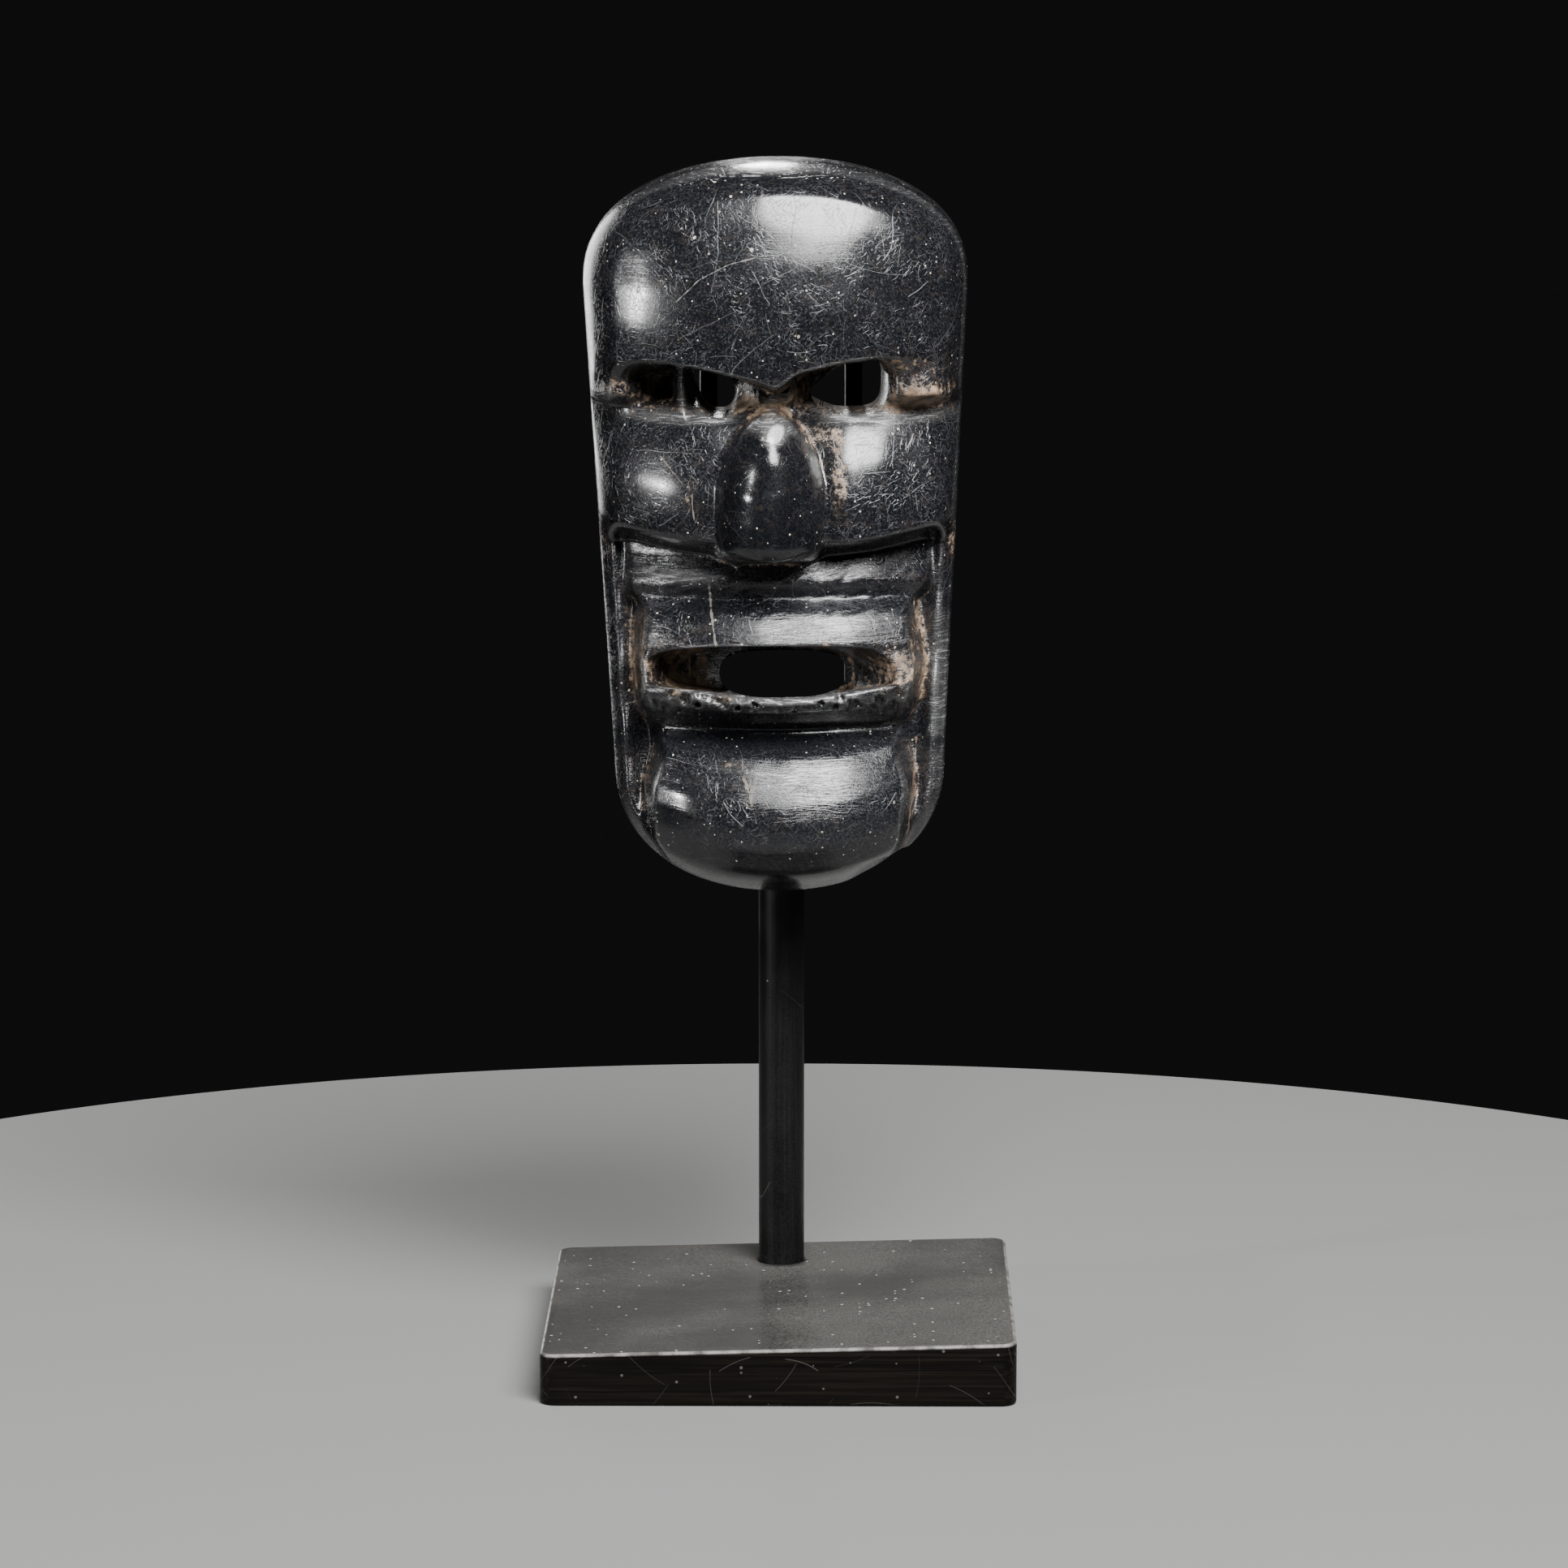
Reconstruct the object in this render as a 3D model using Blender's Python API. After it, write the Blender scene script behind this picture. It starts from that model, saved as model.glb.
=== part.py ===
"""A small carved stone mask on its display stand.

Four solids: the mask, a steel rod, the wire fork on the rod's top that holds the mask,
and a black wooden base. +Z is up, the mask faces -Y, and the origin is on the surface
that the base stands on, under the base's middle. All lengths are in metres.
"""

import math

import bmesh
import bpy
import numpy as np
from mathutils import Matrix, Vector

GAP = 0.0003  # between pieces that rest on or fit in each other

# Base: a flat block of wood, cut by hand, so that its top falls towards one end
BASE_WIDTH = 0.080
BASE_DEPTH = 0.080
BASE_HEIGHT = 0.0108
BASE_FALL = 0.0020
BASE_CORNER_RADIUS = 0.0028
BASE_EDGE_ROUND = 0.0006

# Rod: round steel bar, let into the base behind its middle
ROD_DIAMETER = 0.008
ROD_TO_BASE_BACK = 0.0136
ROD_SEAT_DEPTH = 0.006

# Mask: overall sizes, and how it stands over the base
MASK_HEIGHT = 0.1262
MASK_WIDTH = 0.0658
MASK_JAW_WIDTH = 0.0570
MASK_DEPTH = 0.036
MASK_LIFT = 0.0693
MASK_ROLL = math.radians(0.5)
FACE_SHIFT = -0.0011

# Mask: hollow back
RIM_WIDTH = 0.0055
HOLLOW_DEPTH = 0.013
HOLLOW_SLOPE = 0.020
BACK_EDGE_RADIUS = 0.0014

# Fork: one bent wire with two prongs that reach up into the hollow
WIRE_DIAMETER = 0.003
PRONG_SPACING = 0.025
WIRE_BEND_RADIUS = 0.0035
PRONG_TO_HOLLOW_MOUTH = 0.0032

# Mask outline, as shares of its height: where the sides end and the caps begin
TOP_CAP = 0.834
BOTTOM_CAP = 0.185
CAP_POWER_ACROSS = 2.1
CAP_POWER_UP = 2.4

# Mask carving: heights are shares of the mask's height above its lowest point, places
# across are shares of its half width, and depths are shares of its depth.
BARREL_RADIUS = 1.29
FOREHEAD_HEIGHT = 0.785
FOREHEAD_FALL = 5.06
BROW_HEIGHT = 0.704
BROW_RISE = 0.054
BROW_END_DROP = 0.030
BROW_WALL = 0.016
BRIDGE_LEVEL = 0.66
SOCKET_LEVEL = 0.42
SOCKET_END_LEVEL = 0.54
CHEEK_TOP = 0.684
CHEEK_SHOULDER = 0.660
CHEEK_HEIGHT = 0.560
CHEEK_LEVEL = 0.93
CHEEK_FALL = 12.0
CHEEK_CREST = 0.28
CHEEK_ROUNDING = 0.75
CHEEK_VALLEY = 0.10
CHEEK_FOOT = 0.484
CHEEK_FOOT_RISE = 0.026
FLANGE_LEVEL = 0.40
FLANGE_RIDGE = 0.085
FLANGE_RIDGE_INSET = 0.0027
FLANGE_RIDGE_SPREAD = 0.0014
EDGE_LEVEL = 0.30

# Lower face down the middle, as height and depth: chin, lower lip, upper lip and fold
LOWER_FACE = (
    (0.000, 0.62), (0.050, 0.84), (0.100, 0.935), (0.146, 0.95), (0.180, 0.90),
    (0.208, 0.83), (0.218, 0.76), (0.226, 0.70), (0.240, 0.70), (0.250, 0.84),
    (0.257, 0.90), (0.275, 0.92), (0.310, 0.90), (0.355, 0.87), (0.368, 0.86),
    (0.408, 0.76), (0.416, 0.70), (0.424, 0.71), (0.437, 0.76), (0.457, 0.72),
    (0.476, 0.69), (0.520, 0.69),
)
# Half width of the raised lower face at each height
LOWER_FACE_WIDTH = (
    (0.000, 0.56), (0.040, 0.62), (0.090, 0.665), (0.200, 0.675), (0.236, 0.690),
    (0.280, 0.730), (0.325, 0.750), (0.395, 0.745), (0.425, 0.765), (0.485, 0.80),
)
# Nose, as height and depth of its ridge, and as height and half width
NOSE_RIDGE = (
    (0.480, 0.60), (0.489, 0.85), (0.497, 1.13), (0.506, 1.23), (0.518, 1.24),
    (0.545, 1.18), (0.580, 1.06), (0.615, 0.93), (0.640, 0.80), (0.656, 0.66),
    (0.668, 0.50),
)
NOSE_WIDTH = (
    (0.480, 0.20), (0.488, 0.265), (0.500, 0.285), (0.535, 0.290), (0.565, 0.270),
    (0.595, 0.225), (0.620, 0.170), (0.640, 0.110), (0.654, 0.03), (0.662, 0.01),
)
NOSE_BASE_LEVEL = 0.74
NOSE_HOOK = 0.0022
# Lower lip, which leans up over the mouth: by how much, and between which heights
LIP_HOOK = 0.0028
LIP_HOOK_FOOT = (0.210, 0.252)
LIP_HOOK_HEAD = (0.274, 0.310)
# Radius of the rounding from the front into the sides, as height and metres
EDGE_ROUNDING = (
    (0.000, 0.0100), (0.060, 0.0050), (0.120, 0.0022), (0.450, 0.0022), (0.520, 0.0045),
    (0.700, 0.0060), (0.860, 0.0085), (1.000, 0.0130),
)

# Eye slots: where each hole starts and ends across, and its lower and upper edge
EYE_INNER = 0.203
EYE_OUTER = {"left": 0.440, "right": 0.573}
EYE_FOOT = 0.669
EYE_HEAD = 0.722
EYE_HEAD_SLOPE = 0.060
EYE_WALL = 0.55
EYE_POWER = 2.6
# Mouth: the hole through the stone, and the wider slot in front of it
MOUTH_MIDDLE = 0.015
MOUTH_HOLE = {"half_width": 0.331, "foot": 0.274, "head": 0.340}
MOUTH_SLOT = {"half_width": 0.720, "foot": 0.269, "head": 0.361}
MOUTH_POWER = 2.7

# Grid that the mask is carved on: cells across and up, and where the holes lie in it
CELLS = (40, 60)
REFINED = 4
HOLE_CELLS = {
    "left": (11, 16, 40, 43),
    "right": (24, 30, 40, 43),
    "mouth": (14, 27, 15, 19),
}
SIDE_ROWS = 5
STEEPEST = 5.0
CROWDING_BLUR = 0.0012
MASK_TRIANGLES = 8200

STONE = ("carved_stone", (0.018, 0.019, 0.023), 0.0, 0.28)
STEEL = ("blackened_steel", (0.016, 0.016, 0.017), 0.6, 0.55)
WOOD = ("ebonised_wood", (0.020, 0.018, 0.016), 0.0, 0.50)


def add_object(name, mesh, finish):
    """One named object with its own material: colour, metallic value and roughness."""
    label, colour, metallic, roughness = finish
    material = bpy.data.materials.new(label)
    material.use_nodes = True
    shader = material.node_tree.nodes["Principled BSDF"]
    shader.inputs["Base Color"].default_value = (*colour, 1.0)
    shader.inputs["Metallic"].default_value = metallic
    shader.inputs["Roughness"].default_value = roughness
    mesh.materials.append(material)
    piece = bpy.data.objects.new(name, mesh)
    bpy.context.scene.collection.objects.link(piece)
    return piece


def smooth_step(x, start, end):
    """0 before start, 1 after end, and a smooth S between them."""
    share = np.clip((x - start) / (end - start), 0.0, 1.0)
    return share * share * (3.0 - 2.0 * share)


def larger(x, y, blend):
    """The larger of two heights, with a fillet of about the given size between them."""
    return 0.5 * (x + y + np.sqrt((x - y) ** 2 + blend**2))


def profile(x, points, rounding=0.005):
    """A line through the points, with each corner rounded over that length."""
    places, values = np.array(points).T
    fine = np.linspace(places[0] - 3 * rounding, places[-1] + 3 * rounding, 1601)
    reach = max(1, int(round(rounding / (fine[1] - fine[0]))))
    window = np.hanning(2 * reach + 3)
    line = np.interp(fine, places, values)
    padded = np.pad(line, reach + 1, mode="edge")
    return np.interp(x, fine, np.convolve(padded, window / window.sum(), mode="valid"))


def half_width(t):
    """The outline's half width between the caps, which narrows towards the jaw."""
    down = (TOP_CAP - t) / (TOP_CAP - BOTTOM_CAP)
    return 0.5 * (MASK_WIDTH + (MASK_JAW_WIDTH - MASK_WIDTH) * np.clip(down, 0.0, 1.0))


def cap_share(t):
    """How far up the top cap or down the bottom cap a height lies, from 0 to 1."""
    return np.maximum((t - TOP_CAP) / (1.0 - TOP_CAP), (BOTTOM_CAP - t) / BOTTOM_CAP).clip(0.0)


def rim_distance(a, h):
    """The distance inwards from the outline, to first order: the level over its slope."""
    t = h / MASK_HEIGHT
    side = half_width(t)
    cap = cap_share(t)
    share = np.abs(a) / side
    level = share**CAP_POWER_ACROSS + cap**CAP_POWER_UP
    across = CAP_POWER_ACROSS * share ** (CAP_POWER_ACROSS - 1.0) / side
    cap_length = MASK_HEIGHT * np.where(t > 0.5, 1.0 - TOP_CAP, BOTTOM_CAP)
    up = CAP_POWER_UP * cap ** (CAP_POWER_UP - 1.0) / cap_length
    return (1.0 - level) / np.maximum(np.hypot(across, up), 1e-3 / MASK_HEIGHT)


def hollow(a, h):
    """Depth of the hollow back: flat on the rim, then a bowl with a rounded edge."""
    share = np.clip((rim_distance(a, h) - RIM_WIDTH) / HOLLOW_SLOPE, 0.0, 1.0)
    return HOLLOW_DEPTH * np.sin(0.5 * math.pi * share) ** 1.3


def brow_line(s):
    """Height of the brow's lower edge: a shallow V that drops again at its ends."""
    rise = BROW_RISE * (s * s + 0.012) ** 0.36
    return BROW_HEIGHT + rise - BROW_END_DROP * smooth_step(np.abs(s), 0.80, 1.0)


def nose(a, t):
    """A rounded wedge, which widens from a point between the eyes down to its tip."""
    share = np.abs(a - FACE_SHIFT) / (0.5 * MASK_WIDTH * profile(t, NOSE_WIDTH))
    inside = np.clip(1.0 - share**2.2, 0.0, 1.0) ** 0.75
    level = NOSE_BASE_LEVEL + (profile(t, NOSE_RIDGE) - NOSE_BASE_LEVEL) * inside
    beyond = (NOSE_WIDTH[0][0] - t).clip(0.0) + (t - NOSE_WIDTH[-1][0]).clip(0.0)
    return MASK_DEPTH * (level - 0.5 * (share - 1.0).clip(0.0) - 12.0 * beyond)


def upper_face(a, t, sag):
    """Forehead over the brow wall, the socket under it, and the cheeks."""
    s = a / (0.5 * MASK_WIDTH)
    across = np.abs(s - FACE_SHIFT / (0.5 * MASK_WIDTH))
    socket = BRIDGE_LEVEL - (BRIDGE_LEVEL - SOCKET_LEVEL) * smooth_step(across, 0.08, 0.34)
    socket += (SOCKET_END_LEVEL - SOCKET_LEVEL) * smooth_step(across, 0.62, 0.95)
    socket = MASK_DEPTH * socket
    forehead = MASK_DEPTH * (1.0 - FOREHEAD_FALL * (t - FOREHEAD_HEIGHT) ** 2) - sag
    cheek = CHEEK_LEVEL - CHEEK_FALL * (t - CHEEK_HEIGHT) ** 2
    cheek -= CHEEK_ROUNDING * (across - CHEEK_CREST).clip(0.0) ** 2
    cheek -= CHEEK_VALLEY * (1.0 - smooth_step(across, 0.12, 0.44))
    brow = brow_line(s)
    front = socket + (forehead - socket) * smooth_step(t, brow - BROW_WALL, brow)
    return front + (MASK_DEPTH * cheek - front) * smooth_step(-t, -CHEEK_TOP, -CHEEK_SHOULDER)


def lower_face(a, h, t, sag):
    """Fold, lips and chin as one raised band, between the flanges at the sides."""
    s = np.abs(a) / (0.5 * MASK_WIDTH)
    raised = MASK_DEPTH * profile(t, LOWER_FACE) - sag
    ridge = np.exp(-(((rim_distance(a, h) - FLANGE_RIDGE_INSET) / FLANGE_RIDGE_SPREAD) ** 2))
    flange = MASK_DEPTH * (FLANGE_LEVEL + FLANGE_RIDGE * ridge)
    width = profile(t, LOWER_FACE_WIDTH, 0.02)
    return flange + (raised - flange) * smooth_step(-s, -width - 0.045, -width + 0.060)


def eye_reach(a, t, side):
    """1 on the edge of an eye hole and less inside it."""
    middle = FACE_SHIFT / (0.5 * MASK_WIDTH)
    across = (a / (0.5 * MASK_WIDTH) - middle) * (-1.0 if side == "left" else 1.0)
    head = EYE_HEAD + EYE_HEAD_SLOPE * (across - 0.30).clip(-0.2, 0.3)
    x = 2.0 * (across - EYE_INNER) / (EYE_OUTER[side] - EYE_INNER) - 1.0
    y = 2.0 * (t - EYE_FOOT) / (head - EYE_FOOT) - 1.0
    return (np.abs(x) ** EYE_POWER + np.abs(y) ** EYE_POWER) ** (1.0 / EYE_POWER)


def eye_edge(angle, side):
    """Points on the edge of an eye hole, as places across and up."""
    x = np.sign(np.cos(angle)) * np.abs(np.cos(angle)) ** (2.0 / EYE_POWER)
    y = np.sign(np.sin(angle)) * np.abs(np.sin(angle)) ** (2.0 / EYE_POWER)
    flip = -1.0 if side == "left" else 1.0
    across = EYE_INNER + 0.5 * (EYE_OUTER[side] - EYE_INNER) * (1.0 + flip * x)
    head = EYE_HEAD + EYE_HEAD_SLOPE * (across - 0.30).clip(-0.2, 0.3)
    t = EYE_FOOT + 0.5 * (head - EYE_FOOT) * (1.0 + y)
    return 0.5 * MASK_WIDTH * flip * across + FACE_SHIFT, MASK_HEIGHT * t


def mouth_reach(a, t, shape):
    """1 on the edge of the mouth's hole or slot and less inside it."""
    x = (a / (0.5 * MASK_WIDTH) - MOUTH_MIDDLE) / shape["half_width"]
    middle = 0.5 * (shape["foot"] + shape["head"])
    y = (t - middle) / (shape["head"] - middle)
    return (np.abs(x) ** MOUTH_POWER + np.abs(y) ** MOUTH_POWER) ** (1.0 / MOUTH_POWER)


def mouth_edge(angle):
    """Points on the edge of the mouth's hole, as places across and up."""
    shape = MOUTH_HOLE
    x = np.sign(np.cos(angle)) * np.abs(np.cos(angle)) ** (2.0 / MOUTH_POWER)
    y = np.sign(np.sin(angle)) * np.abs(np.sin(angle)) ** (2.0 / MOUTH_POWER)
    middle = 0.5 * (shape["foot"] + shape["head"])
    a = 0.5 * MASK_WIDTH * (MOUTH_MIDDLE + shape["half_width"] * x)
    return a, MASK_HEIGHT * (middle + (shape["head"] - middle) * y)


def front(a, h):
    """Depth of the carved front over the plane of the back rim, at places across and up."""
    t = h / MASK_HEIGHT
    radius = BARREL_RADIUS * half_width(t)
    sag = radius - np.sqrt(radius**2 - np.clip(np.abs(a), 0.0, 0.95 * radius) ** 2)
    foot = CHEEK_FOOT + CHEEK_FOOT_RISE * smooth_step(np.abs(a) / (0.5 * MASK_WIDTH), 0.3, 0.95)
    upper = upper_face(a, t, sag)
    lower = lower_face(a, h, t, sag)
    depth = lower + (upper - lower) * smooth_step(t, foot - 0.012, foot + 0.016)
    depth = larger(depth, nose(a, t), 0.0012)

    edge = EDGE_LEVEL * MASK_DEPTH
    inset = np.clip(rim_distance(a, h) / profile(t, EDGE_ROUNDING, 0.03), 0.0, 1.0)
    depth = edge + (depth - edge) * np.sqrt(1.0 - (1.0 - inset) ** 2)

    back = hollow(a, h)
    for side in ("left", "right"):
        wall = np.clip((eye_reach(a, t, side) - 1.0) / EYE_WALL, 0.0, 1.0)
        depth = back + (depth - back) * np.sqrt(1.0 - (1.0 - wall) ** 2)
    inner = mouth_reach(a, t, MOUTH_HOLE) - 1.0
    outer = 1.0 - mouth_reach(a, t, MOUTH_SLOT)
    share = np.clip(inner / np.maximum(inner + 1.5 * outer.clip(0.0), 1e-6), 0.0, 1.0)
    return back + (depth - back) * share**0.8


def lean(t, level):
    """How far up the surface leans over: the nose hooks down, and the lower lip up."""
    lip = smooth_step(t, *LIP_HOOK_FOOT) * (1.0 - smooth_step(t, *LIP_HOOK_HEAD))
    nose_tip = smooth_step(level, CHEEK_LEVEL + 0.04, 1.22)
    return LIP_HOOK * lip * smooth_step(level, 0.45, 0.85) - NOSE_HOOK * nose_tip


def outline(count_across, count_up):
    """Points round the outline, anticlockwise from the lower left corner of the grid."""
    turn = np.linspace(0.0, 0.5 * math.pi, 400)
    x = np.cos(turn) ** (2.0 / CAP_POWER_ACROSS)
    y = np.sin(turn) ** (2.0 / CAP_POWER_UP)
    top = np.column_stack((0.5 * MASK_WIDTH * x, MASK_HEIGHT * (TOP_CAP + (1.0 - TOP_CAP) * y)))
    bottom = np.column_stack((0.5 * MASK_JAW_WIDTH * x, MASK_HEIGHT * BOTTOM_CAP * (1.0 - y)))
    right = np.vstack((bottom[::-1], top))
    loop = np.vstack((right, (right * (-1.0, 1.0))[::-1][1:]))
    corner = len(turn) // 2
    marks = [len(turn) - 1 - corner, len(turn) + corner]
    marks += [len(loop) - 1 - marks[1], len(loop) - 1 - marks[0]]
    sides = []
    for start, stop, count in (
        (marks[0], marks[1], count_up),
        (marks[1], marks[2], count_across),
        (marks[2], marks[3], count_up),
        (marks[3], marks[0] + len(loop) - 1, count_across),
    ):
        run = loop[np.arange(start, stop + 1) % (len(loop) - 1)]
        length = np.concatenate(([0.0], np.cumsum(np.linalg.norm(np.diff(run, axis=0), axis=1))))
        even = np.linspace(0.0, length[-1], count + 1)
        sides.append(np.column_stack([np.interp(even, length, run[:, k]) for k in (0, 1)]))
    return sides


def block_ring(low_i, high_i, low_j, high_j):
    """Grid indices round a block of cells, anticlockwise from its lower left corner."""
    across = np.arange(low_i, high_i)
    up = np.arange(low_j, high_j)
    i = np.concatenate((across, np.full(len(up), high_i), across[::-1] + 1, np.full(len(up), low_i)))
    j = np.concatenate((np.full(len(across), low_j), up, np.full(len(across), high_j), up[::-1] + 1))
    return i, j


def pin_edges(grid, scale):
    """Puts the grid's border on the outline, and each hole's border on the hole's edge."""
    cells = (CELLS[0] * scale, CELLS[1] * scale)
    right, top, left, bottom = outline(*cells)
    grid[:, 0] = bottom
    grid[-1, :] = right
    grid[:, -1] = top[::-1]
    grid[0, :] = left[::-1]
    for name, block in HOLE_CELLS.items():
        i0, i1, j0, j1 = (scale * k for k in block)
        i, j = block_ring(i0, i1, j0, j1)
        across, up = i1 - i0, j1 - j0
        quarter = 0.25 * math.pi
        corners = np.array([5, 7, 9, 11, 13]) * quarter
        counts = (across, up, across, up)
        angle = np.concatenate(
            [np.linspace(corners[k], corners[k + 1], n, endpoint=False) for k, n in enumerate(counts)]
        )
        a, h = mouth_edge(angle) if name == "mouth" else eye_edge(angle, name)
        grid[i, j] = np.column_stack((a, h))


def free_points(shape, scale):
    """True for each grid point that may move: inside the outline, and not on or in a hole."""
    free = np.zeros(shape, bool)
    free[1:-1, 1:-1] = True
    for i0, i1, j0, j1 in HOLE_CELLS.values():
        free[scale * i0 : scale * i1 + 1, scale * j0 : scale * j1 + 1] = False
    return free


def crowding(surface):
    """How closely the grid should be spaced at each place: more on steep walls."""
    step = 0.0003
    a = np.arange(-0.5 * MASK_WIDTH, 0.5 * MASK_WIDTH + step, step)
    h = np.arange(0.0, MASK_HEIGHT + step, step)
    depth = surface(*np.meshgrid(a, h, indexing="ij"))
    weight = np.hypot(1.0, np.hypot(*np.gradient(depth, step)).clip(max=STEEPEST))
    reach = int(round(CROWDING_BLUR / step))
    window = np.hanning(2 * reach + 3)[1:-1]
    for _ in (0, 1):
        padded = np.pad(weight, ((reach, reach), (0, 0)), mode="edge")
        blurred = [np.convolve(column, window / window.sum(), mode="valid") for column in padded.T]
        weight = np.array(blurred)
    return lambda x, y: weight[
        np.rint((x - a[0]) / step).astype(int).clip(0, len(a) - 1),
        np.rint(y / step).astype(int).clip(0, len(h) - 1),
    ]


def relax(grid, weight, scale, rounds):
    """Draws each free point towards its four neighbours until the weighted cells are even."""
    free = free_points(grid.shape[:2], scale)[1:-1, 1:-1, None]
    for _ in range(rounds):
        w = weight(grid[..., 0], grid[..., 1])[..., None]
        across = w[1:] + w[:-1]
        up = w[:, 1:] + w[:, :-1]
        weights = (across[:-1, 1:-1], across[1:, 1:-1], up[1:-1, :-1], up[1:-1, 1:])
        places = (grid[:-2, 1:-1], grid[2:, 1:-1], grid[1:-1, :-2], grid[1:-1, 2:])
        pull = sum(k * p for k, p in zip(weights, places)) / sum(weights)
        inner = grid[1:-1, 1:-1]
        grid[1:-1, 1:-1] = np.where(free, 0.2 * inner + 0.8 * pull, inner)


def refine(grid):
    """The same grid with twice the cells each way."""
    for axis in (0, 1):
        count = grid.shape[axis]
        old = np.moveaxis(grid, axis, 0)
        new = np.empty((2 * count - 1, *old.shape[1:]))
        new[::2] = old
        new[1::2] = 0.5 * (old[1:] + old[:-1])
        grid = np.moveaxis(new, 0, axis)
    return np.ascontiguousarray(grid)


def surface_grid(surface):
    """Places across and up for a surface's grid, evened out from coarse to fine."""
    u = np.linspace(0.0, 1.0, CELLS[0] + 1)[:, None, None]
    v = np.linspace(0.0, 1.0, CELLS[1] + 1)[None, :, None]
    right, top, left, bottom = outline(*CELLS)
    left, top = left[::-1], top[::-1]
    grid = (1 - u) * left[None] + u * right[None] + (1 - v) * bottom[:, None] + v * top[:, None]
    grid -= (1 - u) * (1 - v) * bottom[0] + u * (1 - v) * bottom[-1]
    grid -= (1 - u) * v * top[0] + u * v * top[-1]
    weight = crowding(surface)
    pin_edges(grid, 1)
    relax(grid, weight, 1, 500)
    scale = 1
    while scale < REFINED:
        grid = refine(grid)
        scale *= 2
        pin_edges(grid, scale)
        relax(grid, weight, scale, 200)
    return grid


def mask_mesh():
    """The carved front, the sides and the hollow back as one closed skin."""
    skins = [surface_grid(front), surface_grid(hollow)]
    shape = skins[0].shape[:2]
    solid = np.ones((shape[0] - 1, shape[1] - 1), bool)
    for block in HOLE_CELLS.values():
        i0, i1, j0, j1 = (REFINED * k for k in block)
        solid[i0:i1, j0:j1] = False
    front_grid, back_grid = skins
    front_depth = front(front_grid[..., 0], front_grid[..., 1])
    back_depth = hollow(back_grid[..., 0], back_grid[..., 1])

    leaned = front_grid[..., 1] + lean(front_grid[..., 1] / MASK_HEIGHT, front_depth / MASK_DEPTH)
    points = [np.dstack((front_grid[..., 0], leaned, front_depth)).reshape(-1, 3)]
    front_id = np.arange(shape[0] * shape[1]).reshape(shape)
    ring = block_ring(0, shape[0] - 1, 0, shape[1] - 1)
    ring_ids = [front_id[ring]]
    edge = points[0][ring_ids[0]]
    middle = np.array((0.0, 0.5 * MASK_HEIGHT))
    reach = np.linalg.norm(edge[:, :2] - middle, axis=1)[:, None]
    for row in range(1, SIDE_ROWS):
        depth = edge[:, 2] * (1.0 - row / SIDE_ROWS) + BACK_EDGE_RADIUS * row / SIDE_ROWS
        ring_ids.append(len(points[0]) + (row - 1) * len(edge) + np.arange(len(edge)))
        points.append(np.column_stack((edge[:, :2], depth)))
    for turn in np.radians((0.0, 30.0, 60.0)):
        inset = BACK_EDGE_RADIUS * (1.0 - math.cos(turn))
        depth = np.full(len(edge), BACK_EDGE_RADIUS * (1.0 - math.sin(turn)))
        ring_ids.append(ring_ids[-1] + len(edge))
        points.append(np.column_stack((middle + (edge[:, :2] - middle) * (1.0 - inset / reach), depth)))

    back_start = sum(len(p) for p in points)
    back_id = back_start + front_id
    border = np.zeros(shape, bool)
    border[ring] = True
    shrink = 1.0 - BACK_EDGE_RADIUS / np.linalg.norm(back_grid - middle, axis=2, keepdims=True)
    back_grid = np.where(border[..., None], middle + (back_grid - middle) * shrink, back_grid)
    for block in HOLE_CELLS.values():
        loop = block_ring(*(REFINED * k for k in block))
        back_id[loop] = front_id[loop]
    ring_ids.append(back_id[ring])
    points.append(np.dstack((back_grid, back_depth)).reshape(-1, 3))

    faces = []
    for ids, order in ((front_id, (0, 1, 2, 3)), (back_id, (3, 2, 1, 0))):
        corners = (ids[:-1, :-1], ids[1:, :-1], ids[1:, 1:], ids[:-1, 1:])
        faces.append(np.column_stack([corners[k][solid] for k in order]))
    for near, far in zip(ring_ids, ring_ids[1:]):
        faces.append(np.column_stack((near, far, np.roll(far, -1), np.roll(near, -1))))
    a, h, depth = np.vstack(points).T
    mesh = bpy.data.meshes.new("stone_mask")
    mesh.from_pydata(np.column_stack((a, -depth, h)), [], np.vstack(faces).tolist())
    skin = bmesh.new()
    skin.from_mesh(mesh)
    bmesh.ops.delete(skin, geom=[v for v in skin.verts if not v.link_faces], context="VERTS")
    bmesh.ops.triangulate(skin, faces=skin.faces)
    skin.to_mesh(mesh)
    skin.free()
    return mesh


def base_top(x):
    """Height of the base's top, which falls evenly from one end to the other."""
    return BASE_HEIGHT - BASE_FALL * (0.5 - x / BASE_WIDTH)


ROD_Y = 0.5 * BASE_DEPTH - ROD_TO_BASE_BACK
MASK_BACK_Y = ROD_Y - 0.5 * ROD_DIAMETER - GAP
MASK_Z = base_top(0.0) + MASK_LIFT
PRONG_Y = MASK_BACK_Y - PRONG_TO_HOLLOW_MOUTH
FORK_Z = MASK_Z + 0.175 * MASK_HEIGHT
ROD_TOP = FORK_Z - 0.5 * WIRE_DIAMETER - GAP


def build_mask():
    mask = add_object("stone_mask", mask_mesh(), STONE)
    mask.location = (0.0, MASK_BACK_Y, MASK_Z)
    mask.rotation_euler = (0.0, -MASK_ROLL, 0.0)
    fewer = mask.modifiers.new("fewer faces", "DECIMATE")
    fewer.ratio = MASK_TRIANGLES / len(mask.data.polygons)
    mask.data.shade_smooth()
    mask.data.set_sharp_from_angle(angle=math.radians(50))
    return mask


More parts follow.
